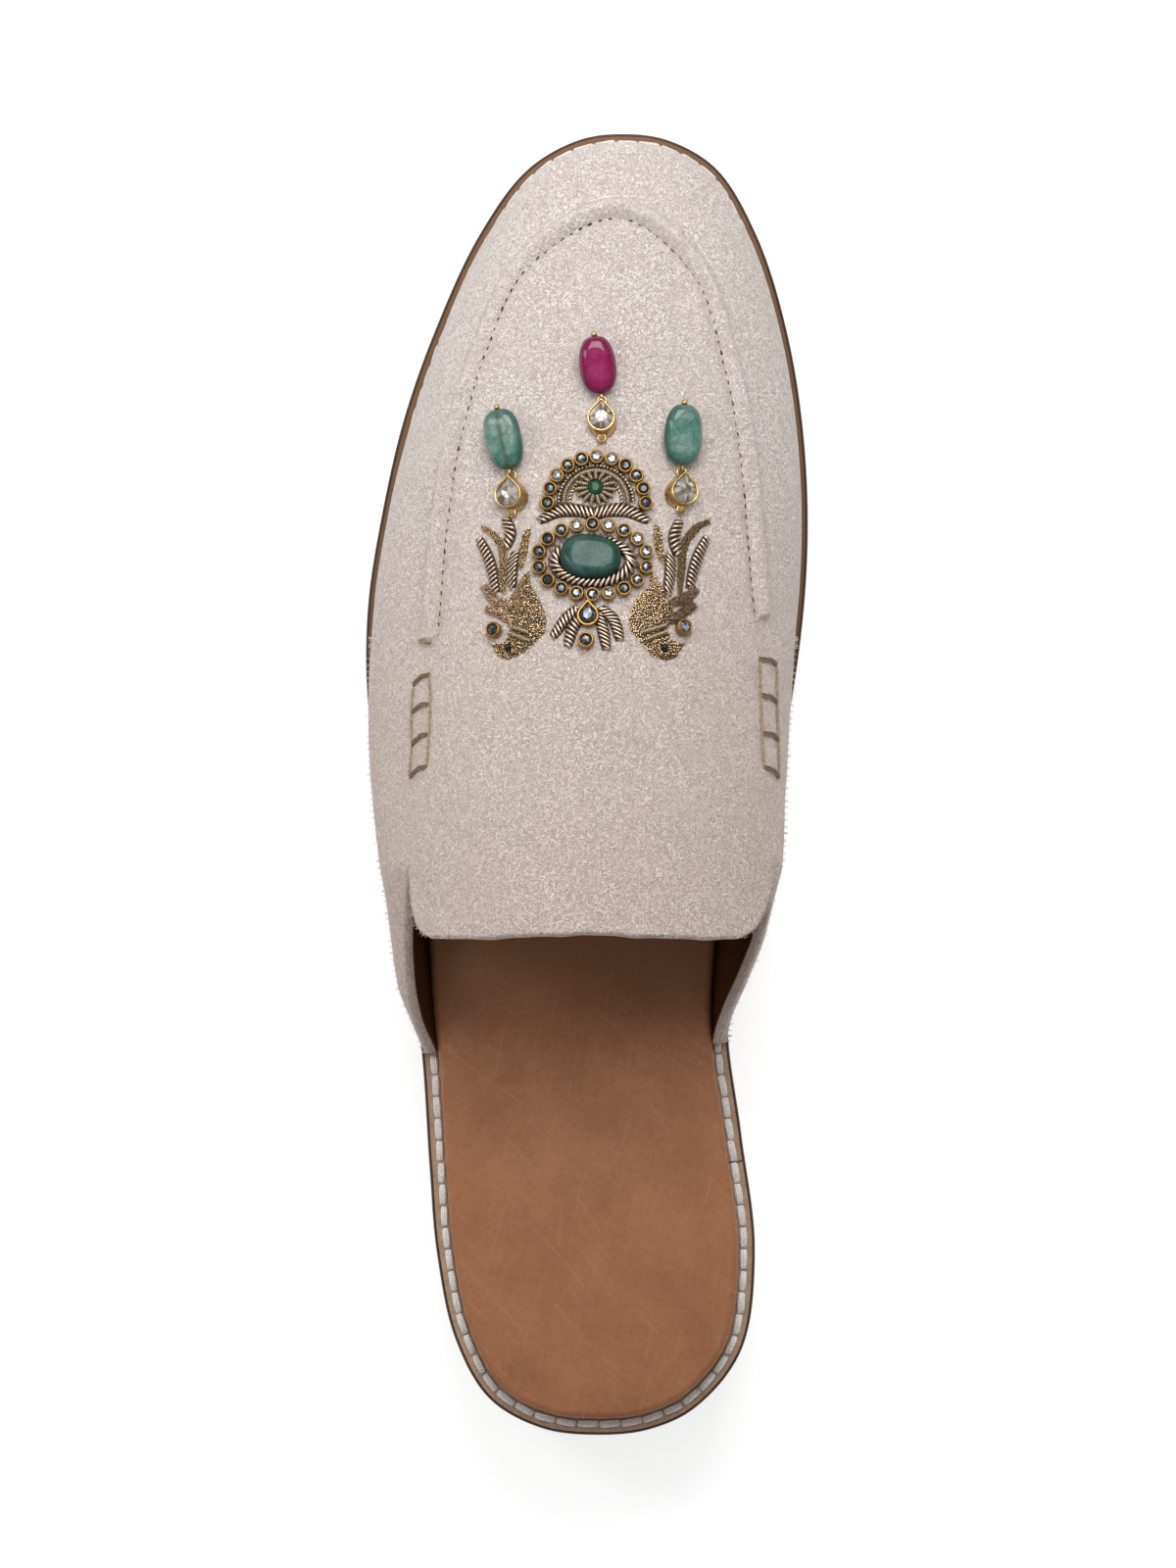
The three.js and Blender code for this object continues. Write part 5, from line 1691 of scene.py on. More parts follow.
def cut_stone(outline: np.ndarray, girdle: float, table: float, inner: float, seed: int) -> Shape:
    """Cut a flat stone with slightly uneven facets over an outline.

    Args:
        outline: Its outline, one point a row.
        girdle: Height of its widest part.
        table: Height of its top.
        inner: Size of the top as a share of the outline.
        seed: Seed of the unevenness.

    Returns:
        Points and faces.
    """
    rng = np.random.default_rng(seed)
    centre = outline.mean(axis=0)
    count = len(outline)
    floor = girdle - 0.7
    top = centre + (outline[::2] - centre) * inner * rng.uniform(0.85, 1.15, (len(outline[::2]), 1))
    crown = np.column_stack([top, table - rng.uniform(0.0, 0.12, len(top))])
    rim = np.column_stack([outline, np.full(count, girdle)])
    base = np.column_stack([centre + (outline - centre) * 0.9, np.full(count, floor)])
    points = np.vstack([base, rim, crown, [[*centre, table]], [[*centre, floor]]])
    faces: list[tuple[int, ...]] = []
    half = len(top)
    first = 2 * count
    for k in range(count):
        after = (k + 1) % count
        faces.append((k, after, count + after, count + k))
        faces.append((after, k, first + half + 1))
    for k in range(half):
        a, b, c = count + 2 * k, count + (2 * k + 1) % count, count + (2 * k + 2) % count
        own, after = first + k, first + (k + 1) % half
        faces.extend([(a, b, own), (b, c, after), (b, after, own), (own, after, first + half)])
    return points, faces


def raised(value: np.ndarray, exponent: float) -> np.ndarray:
    """Raise values to a power and keep their signs."""
    return np.sign(value) * np.abs(value) ** exponent


def tumbled(width: float, length: float, thickness: float, seed: int, rows: int = 36, sides: int = 44,
            blunt: float = 0.74) -> Shape:
    """Make a tumbled oval stone with a soft flat place on its top.

    Args:
        width: Size across.
        length: Size along.
        thickness: Size upright.
        seed: Seed of its unevenness.
        rows: Number of steps along it.
        sides: Number of steps round it.
        blunt: Power that rounds its ends; a low one makes them square.

    Returns:
        Points and faces, its length along +Y and its middle at the origin.
    """
    u = np.linspace(0, math.pi, rows + 1)[1:-1, None]
    v = (np.arange(sides) * math.tau / sides)[None]
    reach = raised(np.sin(u), blunt)
    shift = np.random.default_rng(seed).uniform(0, math.tau, 4)
    lumps = 1 + 0.02 * np.sin(2 * v + shift[0] + 2 * u) + 0.015 * np.sin(3 * u + shift[1])
    x = width / 2 * reach * raised(np.cos(v), 0.86) * lumps
    y = -length / 2 * raised(np.cos(u), 0.82) + 0 * v
    z = thickness / 2 * reach * raised(np.sin(v), 0.9) * lumps
    soft, limit = 0.30 * thickness, 0.42 * thickness
    z = np.where(z > soft, soft + (limit - soft) * np.tanh((z - soft) / (limit - soft)), z)
    body = np.stack([x, y, z], axis=-1).reshape(-1, 3)
    ends = np.array([[0, -length / 2, 0], [0, length / 2, 0]])
    faces = [face[::-1] for face in ring_faces(rows - 1, sides)]
    last = (rows - 2) * sides
    for k in range(sides):
        after = (k + 1) % sides
        faces.append((len(body), k, after))
        faces.append((len(body) + 1, last + after, last + k))
    return np.vstack([body, ends]), faces


def ball(radius: float, height: float, steps: int, segments: int) -> Shape:
    """Make a ball over the origin.

    Args:
        radius: Its radius.
        height: Height of its middle.
        steps: Number of steps from pole to pole.
        segments: Number of steps round it.

    Returns:
        Points and faces.
    """
    turns = np.linspace(0, math.pi, steps + 1)[1:-1]
    sides = ((radius * math.sin(turn), height - radius * math.cos(turn)) for turn in turns)
    return turned([(0, height - radius), *sides, (0, height + radius)], segments)


def rim_of(points: np.ndarray, width: float, length: float) -> np.ndarray:
    """Say how near each point of a stone is to its rim in plan, from 0 in the middle to 1; the gem material
    paints shade by it.

    Args:
        points: Points of the stone, with its middle at the origin.
        width: Its size across.
        length: Its size along.

    Returns:
        The share at each point.
    """
    reach = np.hypot(2 * points[:, 0] / width, 2 * points[:, 1] / length)
    return np.clip(reach, 0, 1) ** 3.5


def mark(piece: bpy.types.Object, domain: str, **values: np.ndarray) -> bpy.types.Object:
    """Give the points or faces of a piece named values for its material to read.

    Args:
        piece: The piece.
        domain: POINT or FACE.
        values: Value of each attribute at each of them.

    Returns:
        The piece.
    """
    for name, value in values.items():
        piece.data.attributes.new(name, "FLOAT", domain).data.foreach_set("value", np.asarray(value, float))
    return piece


def facetted(name: str, shape: Shape, finish: bpy.types.Material, seed: int) -> bpy.types.Object:
    """Make a cut stone, each facet with its own random brightness, which its material turns into painted
    reflection.

    Args:
        name: Name of the piece.
        shape: Its points and faces.
        finish: Its material.
        seed: Seed of the brightness.

    Returns:
        The stone, not yet given to the frame.
    """
    stone = make_object(name, shape, [finish], sharp=1)
    rng = np.random.default_rng(seed)
    tint, facet = (rng.uniform(0, 1, len(stone.data.polygons)) for _ in range(2))
    return mark(stone, "FACE", tint=tint, facet=facet)


@dataclass(frozen=True)
class Oval:
    """An oval line in the plan: its middle and its two radii."""

    x: float
    y: float
    across: float
    along: float

    def points(self, angles: np.ndarray) -> np.ndarray:
        """Give its points at angles from +X."""
        return np.column_stack([self.x + self.across * np.cos(angles), self.y + self.along * np.sin(angles)])


@dataclass
class Medallion:
    """The jewel: a cabochon in a rope of coil, rings of stones in cups, the flower and its frame of arcs."""

    work: Embroidery
    antique: bpy.types.Material
    crescent: Oval = Oval(1.75, 56.8, 9.75, 9.4)
    crescent_stones: int = 11
    ellipse: Oval = Oval(0.95, 45.3, 10.9, 7.2)
    ellipse_stones: int = 18
    single_stones: tuple[tuple[float, float, float], ...] = ((-0.4, 28.8, 1.65), (-18.7, 31, 1.6),
                                                             (19.1, 31.5, 1.6))
    cup_radius: float = 1.44
    template_radius: float = 1.35
    cabochon: tuple[float, float, float] = (0.55, 45.9, 6.0)
    cabochon_size: tuple[float, float, float] = (9.0, 12.4, 5.2)
    band: Oval = Oval(0.95, 45.1, 7.55, 4.45)
    band_strands: int = 36
    petals: int = 15
    petal_reach: tuple[float, float] = (17.8, 15.0)
    pear_place: tuple[float, float] = (0.0, 34.2)
    flower_place: tuple[float, float] = (1.5, 60.1)
    flower_middle: tuple[float, float] = (360.4, 577.3)
    arc_middle: tuple[float, float] = (360.8, 590.0)
    arc_radii: tuple[float, float, float] = (7.55, 6.5, 5.35)

    def build(self) -> None:
        """Build every part of the jewel and hand it to the frame."""
        # The bright colour is painted reflection on some facets.
        clear = FoiledStone("foiled_clear_stone", "#31353b", "#b6bdc6", turning=0.74).make()
        self.build_settings(clear)
        self.build_pear(clear)
        self.build_cabochon()
        self.build_band()
        self.build_flower()
        self.build_arcs()

    def nodes(self) -> list[str]:
        """List the nodes of the stones in round cups."""
        return [*(f"crescent_setting_{i + 1}" for i in range(self.crescent_stones)),
                *(f"medallion_setting_{i + 1}" for i in range(self.ellipse_stones)),
                "round_setting", "lateral_bird_setting", "medial_bird_setting"]

    def build_settings(self, clear: bpy.types.Material) -> None:
        """Build the round cups with their clear stones, in the order of their nodes."""
        rings = [self.crescent.points(np.linspace(math.pi, 0, self.crescent_stones)),
                 spread_along(self.ellipse.points(np.linspace(0, math.tau, 2001)), self.ellipse_stones)]
        singles = np.array(self.single_stones)
        plan = np.vstack([*rings, singles[:, :2]])
        sizes = np.append(np.full(len(plan) - len(singles), self.cup_radius),
                          singles[:, 2]) / self.template_radius
        stand = (LAST.on_vamp(plan), LAST.vamp_normal(plan), np.tile([0.0, 1.0], (len(plan), 1)), math.pi,
                 0.03)
        profile = [(0, 0.05), (1.25, 0.05), (1.4, 0.35), (1.42, 1.2), (1.38, 1.6), (1.24, 1.78),
                   (1.08, 1.76),
                   (0.98, 1.6), (0.95, 1.2), (0, 1.15)]
        cup = make_object("cup", turned(profile, 28), [self.antique], sharp=60)
        finish_piece(set_pieces("setting_cups", cup, *stand, 3, sizes), self.nodes())
        stone = facetted("stone", cut_stone(ring(0.98, 10)[:, :2], 1.5, 1.98, 0.62, 5), clear, 12)
        stone.data.attributes.remove(stone.data.attributes["tint"])
        finish_piece(set_pieces("setting_stones", stone, *stand, 8, sizes))

    def build_pear(self, clear: bpy.types.Material) -> None:
        """Build the pear-shaped cup with its clear stone."""
        seat = Seat.on_vamp(*self.pear_place)
        pear = Drop(radius=2.25, tip=3.5, middle=-0.3)
        cup = make_object("pear_cup", seat.shape(pear.cup(0.05, 1.8, 0.42)), [self.antique], sharp=50)
        finish_piece(cup, ["pear_setting"])
        stone = seat.shape(cut_stone(pear.outline(14, 0.76), 1.55, 2.2, 0.6, 11))
        finish_piece(facetted("pear_stone", stone, clear, 4))

    def build_cabochon(self) -> None:
        """Build the stone in the middle, whose lower half is sunk in the rope of coil."""
        jade = Gem("cabochon_emerald", "#2b5348", "#4f6d64", "#173029", roughness=0.16, cloud_mm=6.0,
                   gloss=0.15).make()
        points, faces = tumbled(*self.cabochon_size, 4)
        # The rim share lets the gem material paint shade towards the rim.
        rim = rim_of(points, *self.cabochon_size[:2])
        points = points[:, [1, 0, 2]]
        points[:, 2] = np.maximum(points[:, 2] + 1.2, SEAT_GAP)
        stone = Seat.on_vamp(*self.cabochon).shape((points, [face[::-1] for face in faces]))
        piece = mark(make_object("cabochon_stone", stone, [jade], sharp=60), "POINT", rim=rim)
        finish_piece(piece, ["cabochon"])

    def build_band(self) -> None:
        """Wind the rope of coil round the cabochon."""
        angles = np.linspace(0, math.tau, 240, endpoint=False)
        plan = self.band.points(angles)
        normals = LAST.vamp_normal(plan)
        pitch = np.linalg.norm(np.roll(plan, -1, axis=0) - plan, axis=1).sum() / self.band_strands
        reach = 1.08 + 0.14 * np.cos(2 * angles) + 0.1 * np.cos(angles)
        edges = [(i, (i + 1) % len(plan)) for i in range(len(plan))]
        points = LAST.on_vamp(plan) + normals * 0.5
        carrier = make_carrier(points, edges, [], up=normals, reach=reach * MM)
        band = grow("coil_rope", carrier, self.work.coils, Finish=self.work.bronze, Pitch=pitch * MM,
                    Wire=0.34 * MM, Flat=0.5, Slant=0.95, Hand=float(Hand.RIGHT.value))
        finish_piece(band, ["coil_band"])
        # Dark core under the rope: a pad and painted shade between its strands.
        core = tube(points + normals * 0.25, 0.7, closed=True, sides=10)
        finish_piece(make_object("coil_rope_core", core, [self.work.padding_shade]))

    def build_flower(self) -> None:
        """Build the green stone and the petals of tight coil round it."""
        green = Gem("flower_emerald", "#174a30", "#23603f", "#0f3020", roughness=0.2, cloud_mm=2.0,
                    gloss=0.15).make()
        stone = Seat.on_vamp(*self.flower_place).shape(cut_stone(ring(1.42, 12)[:, :2], 1.0, 1.7, 0.6, 2))
        finish_piece(make_object("flower_emerald", stone, [green], sharp=1), ["flower_stone"])
        petals = []
        for k in range(self.petals):
            angle = math.tau * (k + 0.3) / self.petals
            heading = np.array([math.cos(angle), math.sin(angle)])
            inner = np.array([360.4, 577.0]) + heading * 7.0
            outer = np.array([360.4, 577.4]) + heading * self.petal_reach
            path = (tuple(inner), tuple((inner + outer) / 2), tuple(outer))
            petals.append(Strand(path, 1.2, pitch=0.32, slant=0.0, blunt=0.7))
        self.work.wind("flower_petals", petals, 0.25, 0.8, self.work.bright)
        middle = from_photo(self.flower_middle)[0]
        self.work.pad("flower_pad", [middle + ring(1.0, 30)[:, :2] * (3.7, 3.1)], 0.25, "coil_thread")

    def arc(self, radius: float) -> tuple[tuple[float, float], ...]:
        """Give a half circle over the jewel, in the photograph's own pixels."""
        turns = np.radians(np.linspace(180, 0, 13))
        round_middle = np.column_stack([np.cos(turns), -np.sin(turns)])
        return tuple(map(tuple, np.array(self.arc_middle) + radius / MM_A_PIXEL * round_middle))

    def build_arcs(self) -> None:
        """Build the arcs in the crescent, the coil leaves under the jewel and the two that part over it."""
        outer, between, inner = (self.arc(radius) for radius in self.arc_radii)
        chains = [Strand(outer, 1.1, pitch=0.75, slant=0.5, blunt=1.0),
                  Strand(inner, 0.9, pitch=0.75, slant=-0.5, blunt=1.0)]
        self.work.wind("chain_arcs", chains, 0.0, 0.6, self.work.bright)
        smooth = Strand(between, 1.25, pitch=0.34, slant=0.0, blunt=1.0)
        self.work.wind("smooth_arc", [smooth], 0.1, 0.8, self.work.bright)
        upper = [((358.5, 600.0), (345.0, 596.5), (329.0, 597.0), (311.5, 606.0)),
                 ((358.0, 600.0), (372.0, 596.5), (388.0, 597.0), (406.5, 606.0))]
        lower = [(((345.7, 680.0), (335.0, 690.0), (323.5, 705.5)), 0.4, 0.55),
                 (((350.0, 684.0), (341.0, 698.0), (336.5, 714.0)), 0.2, 0.6),
                 (((362.3, 683.0), (367.0, 700.0), (370.0, 716.5)), 0.7, 0.6),
                 (((364.5, 680.0), (376.0, 691.0), (381.5, 708.5)), 0.7, 0.6)]
        leaves = [Strand(upper[0], 2.9, 0.98, -0.6, Hand.RIGHT, 0.4, 1.0),
                  Strand(upper[1], 2.9, 0.98, 0.6, Hand.LEFT, 0.4, 1.0),
                  *(Strand(path, 2.5, 0.88, slant, Hand.LEFT, blunt) for path, slant, blunt in lower)]
        self.work.wind("coil_leaves", leaves, 0.0, 0.3, self.work.bronze)
        self.work.pad("leaf_padding", [leaf.outline() for leaf in leaves], 0.55, "coil_thread")


@dataclass(frozen=True)
class Drop:
    """A pear-shaped cup: a circle drawn out to a tip."""

    radius: float = 2.85
    tip: float = 4.15
    middle: float = 3.5

    def outline(self, count: int, scale: float = 1.0) -> np.ndarray:
        """Give its outline.

        Args:
            count: Number of points.
            scale: Its size as a share of the whole.

        Returns:
            Points in the plane.
        """
        tangent = math.acos(self.radius / self.tip)
        turns = np.linspace(math.pi / 2 + tangent, math.pi * 2.5 - tangent, 60)
        arc = np.column_stack([np.cos(turns), np.sin(turns)]) * self.radius
        line = np.vstack([arc, [[0, self.tip]], arc[:1]])
        return spread_along(line, count) * scale + (0, self.middle)

    def cup(self, bottom: float, top: float, rim: float) -> Shape:
        """Make the cup with its rim.

        Args:
            bottom: Height of its underside.
            top: Height of its rim.
            rim: Width of its rim.

        Returns:
            Points and faces.
        """
        count = 64
        wide = self.radius
        rows = [(wide - 0.25, bottom), (wide, bottom + 0.25), (wide + 0.02, top - 0.25),
                (wide - 0.1, top - 0.03),
                (wide - rim / 2, top), (wide - rim, top - 0.06), (wide - rim - 0.05, top - 0.3),
                (wide - rim - 0.12, top - 0.7)]
        loops = [np.column_stack([self.outline(count, reach / wide), np.full(count, z)]) for reach,
                 z in rows]
        points = np.vstack([*loops, [[0, self.middle, bottom]], [[0, self.middle, rows[-1][1]]]])
        faces = ring_faces(len(rows), count)
        end = (len(rows) - 1) * count
        for k in range(count):
            after = (k + 1) % count
            faces.append((after, k, len(points) - 2))
            faces.append((end + k, end + after, len(points) - 1))
        return points, faces


@dataclass
class Dangler:
    """A gold drop sewn to the vamp by one eye, and the bead that hangs from its other eye."""

    name: str
    place: tuple[float, float]
    drop_heading: float
    bead_heading: float
    size: tuple[float, float, float]
    gem: bpy.types.Material
    slot: str
    gold: bpy.types.Material
    thread: bpy.types.Material
    seed: int
    bore: float
    shear: tuple[float, float]
    reach: float = 7.7
    eye_height: float = 1.4
    pitch: float = 14.5
    eye_radii: tuple[float, float] = (0.75, 0.9)
    eye_wire: float = 0.3
    loop: float = 0.85
    loop_wire: float = 0.25
    cap_radius: float = 0.66

    def build(self) -> None:
        """Build the knot, the drop and the bead, each on its own body."""
        seat = Seat.on_vamp(*self.place, self.drop_heading)
        profile = [(0, 0.05), (0.72, 0.1), (0.66, 0.55), (0.26, 0.75), (0.25, 1.8), (0.7, 1.95), (0.66, 2.2),
                   (0.35, 2.4), (0, 2.44)]
        knot = make_object(f"{self.name}_knot", seat.shape(turned(profile, 16)), [self.thread])
        finish_piece(knot, [f"{self.name}_anchor"])
        self.build_drop(seat)
        link = seat.place([0.0, self.reach, self.eye_height])
        bead = Seat.on_vamp(link[0], link[1], self.bead_heading)
        self.build_bead(Seat(link, bead.axes).tipped(self.pitch))

    def build_drop(self, seat: Seat) -> None:
        """Build the cup with its two eyes, and its stone."""
        drop = Drop()
        body = f"{self.name}_drop"
        eyes = [tube(ring(radius, 28) + (0, y, self.eye_height), self.eye_wire, closed=True, sides=10)
                for radius, y in zip(self.eye_radii, (0.0, self.reach))]
        cup, cup_faces = drop.cup(0.4, 2.8, 0.34)
        cup[:, :2] += np.array(self.shear) * (1.6 - cup[:, 2:]) / 2.4
        cups = seat.shape(joined([(cup, cup_faces), *eyes]))
        piece = make_object(f"{body}_cup", cups, [self.gold], sharp=50)
        finish_piece(piece, [body], body)
        # The bright colour is painted reflection on some facets.
        clear = FoiledStone(f"{body}_foil", "#75685d", "#cbc4bc", turning=0.55).make()
        points, faces = cut_stone(drop.outline(16, 0.82), 2.4, 3.1, 0.5, self.seed)
        points[:, :2] -= np.array(self.shear) / 2
        stone = facetted(f"{body}_stone", seat.shape((points, faces)), clear, self.seed)
        finish_piece(stone, body=body)

    def build_bead(self, seat: Seat) -> None:
        """Build the tumbled bead, its wire loop and the little ball on its far end."""
        body = f"{self.name}_bead"
        width, length, _ = self.size
        start = 2 * self.loop - 0.25
        points, faces = tumbled(*self.size, self.seed)
        stone = seat.shape((points + (0, start + length / 2, 0), faces))
        bore = self.bore * np.exp(-(points[:, 0] / 0.45) ** 2) * (points[:, 2] > 0)
        # The rim share lets the gem material paint shade towards the rim.
        piece = mark(make_object(f"{body}_stone", stone, [self.gem]), "POINT", bore=bore,
                     rim=rim_of(points, width, length))
        finish_piece(piece, [body], body)
        loop = ring(self.loop, 24)[:, [2, 0, 1]] + (0, self.loop, 0)
        neck = ring(0.42, 10)[:, [0, 2, 1]] + (0, start + 0.15, 0)
        points, faces = ball(self.cap_radius, 0.0, 12, 18)
        cap = (points[:, [0, 2, 1]] * (1, 1, -1) + (0, start + length + 0.4, 0), faces)
        wire = seat.shape(joined([tube(loop, self.loop_wire, closed=True), tube(neck, 0.18, closed=True),
                                  cap]))
        finish_piece(make_object(f"{body}_wire", wire, [self.gold]), body=body)


@dataclass
class Bird:
    """An embroidered bird with its head down: chips of coil for its body, coil plumes for its tail."""

    name: str
    work: Embroidery
    plumes: tuple[Strand, ...]
    chip_plumes: tuple[Strand, ...]
    wings: tuple[Strand, ...]
    bars: tuple[Strand, ...]
    body: tuple[tuple[float, float], ...]
    eye: tuple[float, float]
    seed: int
    body_puff: float = 0.5
    leaf_puff: float = 0.35
    wing_puff: float = 0.95
    plume_puff: float = 0.5

    def build(self) -> None:
        """Build the bird's cushions, chips, coils and eye."""
        name, work = self.name, self.work
        body = [from_photo(*self.body)]
        leaves, wings, coils = ([strand.outline() for strand in strands]
                                for strands in (self.chip_plumes, self.wings, self.plumes))
        work.pad(f"{name}_body_pad", body, self.body_puff)
        work.pad(f"{name}_leaf_pad", leaves, self.leaf_puff)
        work.pad(f"{name}_wing_pad", wings, self.wing_puff)
        work.pad(f"{name}_plume_pad", coils, self.plume_puff)
        work.chip(f"{name}_body_chips", body, self.body_puff, 0.37, self.seed)
        work.chip(f"{name}_leaf_chips", leaves, self.leaf_puff, 0.32, self.seed + 1, turn=0.8)
        work.chip(f"{name}_wing_chips", wings, self.wing_puff, 0.3, self.seed + 2, 0.5, work.purl,
                  "coil_thread")
        work.wind(f"{name}_plumes", self.plumes, 0.0, 0.3, work.bronze)
        work.wind(f"{name}_bars", self.bars, 0.7, 0.55, work.bright)
        black = Gem(f"{name}_black_glass", "#0d0d10", "#16161a", "#060608", roughness=0.1).make()
        eye = Seat.on_vamp(*from_photo(self.eye)[0]).shape(ball(0.76, 1.31, 8, 16))
        finish_piece(make_object(f"{name}_eye", eye, [black]))


def build_danglers() -> None:
    """Build the ruby drop and the two green ones, each with its bead."""
    # The dark second colour is partly tarnished metal and partly painted shade in the cup's hollows.
    gold = Metal("bright_gold_cup", "#c9aa78", "#6f4f2a", roughness=0.3, hollow_mm=0.3, beaten=0.25).make()
    thread = Thread("gold_sewing_thread", "#b08a52", "#6e5028").make()
    ruby = Gem("ruby_glass", "#8e0f4e", "#9c2f62", "#5a0830", cloud_mm=5.0).make()
    emerald = Gem("emerald_glass", "#4f8173", "#8ea39a", "#1f4a40", cloud_mm=5.0).make()
    small, large = (7.3, 11.8, 5.2), (7.7, 12.4, 5.2)
    for name, place, drop, bead, size, gem, slot, seed, bore, shear in (
        ("ruby", (2.8, 70.0), 0.0, -6.9, small, ruby, "ruby_bead", 21, 0.0, (0.35, -1.1)),
        ("lateral", (-15.1, 54.8), 0.0, -8.9, large, emerald, "green_bead", 22, 0.75, (1.15, -0.5)),
        ("medial", (18.5, 55.5), 0.7, -1.3, large, emerald, "green_bead", 23, 0.15, (-1.1, -0.5)),
    ):
        Dangler(name, place, drop, bead, size, gem, slot, gold, thread, seed, bore, shear).build()


def bars(*paths: tuple[tuple[float, float], ...]) -> tuple[Strand, ...]:
    """Make the tight bars of pale coil over a bird's neck."""
    return tuple(Strand(path, 1.2, 0.4, 0.1, blunt=0.8) for path in paths)


def build_birds(work: Embroidery) -> None:
    """Build the two birds that face each other under the jewel."""
    Bird(
        "lateral_bird", work, seed=31, eye=(287.0, 715.4),
        plumes=(
            Strand(((275.9, 667.0), (269.6, 640.0), (260.7, 620.4)), 2.4, 0.88, -0.3, Hand.RIGHT, 0.55),
            Strand(((283.9, 629.3), (287.5, 615.0), (283.0, 603.0)), 2.5, 0.95, 0.45, Hand.LEFT, 0.55),
            Strand(((289.3, 663.0), (289.3, 645.4), (292.0, 632.0)), 2.35, 0.95, -1.0, Hand.RIGHT, 0.55),
        ),
        chip_plumes=(
            Strand(((281.7, 668.0), (280.8, 652.5), (281.3, 632.9), (275.0, 619.5), (263.4, 611.0)), 1.6),
            Strand(((296.4, 647.0), (299.6, 625.7), (303.6, 612.3)), 1.7, blunt=0.25),
        ),
        wings=(
            Strand(((289.0, 678.5), (273.2, 673.0), (265.2, 660.5)), 2.1, blunt=0.5),
            Strand(((290.0, 693.6), (279.5, 685.5), (266.5, 681.0)), 2.0, blunt=0.5),
            Strand(((296.0, 690.0), (294.0, 672.0), (301.0, 655.0)), 1.9, blunt=0.5),
        ),
        bars=bars(((289.5, 697.5), (297.0, 700.0), (304.5, 702.5)),
                  ((287.0, 702.4), (296.0, 706.2), (305.0, 709.5))),
        body=((290.0, 668.0), (297.0, 655.0), (304.0, 648.0), (304.5, 660.0), (311.2, 671.3), (318.3, 687.3),
              (317.0, 701.6), (305.4, 713.2), (295.5, 720.5), (285.7, 724.8), (276.8, 721.0), (271.0, 710.5),
              (277.7, 712.3), (284.8, 707.0), (287.4, 697.3), (283.0, 690.0), (284.0, 678.0)),
    ).build()
    Bird(
        "medial_bird", work, seed=41, eye=(418.7, 715.4),
        plumes=(
            Strand(((440.5, 664.0), (446.8, 640.0), (455.7, 619.5)), 2.4, 0.88, 0.3, Hand.LEFT, 0.55),
            Strand(((430.7, 634.6), (428.0, 619.5), (432.5, 605.0)), 2.6, 0.95, -0.25, Hand.RIGHT, 0.55),
            Strand(((421.8, 669.0), (424.5, 648.0), (424.5, 633.8)), 2.45, 0.95, 1.0, Hand.LEFT, 0.55),
        ),
        chip_plumes=(
            Strand(((432.5, 668.5), (433.8, 648.0), (436.0, 627.5), (445.9, 612.3), (458.4, 605.6)), 1.7),
            Strand(((418.2, 642.0), (413.8, 623.9), (412.4, 608.8)), 1.7, blunt=0.25),
        ),
        wings=(
            Strand(((422.0, 677.0), (436.0, 673.0), (447.7, 664.5)), 2.2, blunt=0.5),
            Strand(((421.5, 693.5), (432.5, 686.4), (445.9, 677.5)), 2.1, blunt=0.5),
            Strand(((413.0, 690.0), (414.0, 672.0), (409.0, 655.0)), 1.9, blunt=0.5),
        ),
        bars=bars(((399.0, 702.5), (409.0, 699.5), (420.5, 696.0)),
                  ((403.0, 708.5), (412.0, 705.0), (421.5, 701.5))),
        body=((420.0, 668.0), (413.0, 655.0), (408.5, 648.5), (407.0, 661.0), (396.5, 671.3), (389.2, 686.4),
              (390.5, 699.8), (399.5, 710.5), (409.3, 722.0), (420.0, 725.7), (428.9, 723.0), (437.4, 710.5),
              (430.0, 711.0), (423.6, 705.2), (421.8, 695.4), (426.0, 690.0), (427.0, 678.0)),
    ).build()


@dataclass(frozen=True)
class Crease:
    """A soft trough in the suede, or a ridge where its depth is below zero."""

    path: tuple[tuple[float, float], ...]
    depth: float
    width: float
    fade: bool = True

    def lift(self, plan: np.ndarray) -> np.ndarray:
        """Work out how far it moves points of the suede.

        Args:
            plan: Points across and along, one a row.

        Returns:
            The move outwards at each point.
        """
        line = curve_through(np.array(self.path, float), False, 30)
        starts, span = line[:-1], np.diff(line, axis=0)
        share = np.clip(((plan[:, None] - starts) * span).sum(-1) / (span ** 2).sum(-1), 0, 1)
        gaps = np.linalg.norm(plan[:, None] - starts - share[..., None] * span, axis=-1)
        nearest = gaps.argmin(axis=1)
        rows = np.arange(len(plan))
        along = (nearest + share[rows, nearest]) / len(span)
        strength = np.sin(np.pi * np.clip(along, 0.02, 0.98)) ** 0.6 if self.fade else 1.0
        return -self.depth * np.exp(-(gaps[rows, nearest] / self.width) ** 2) * strength


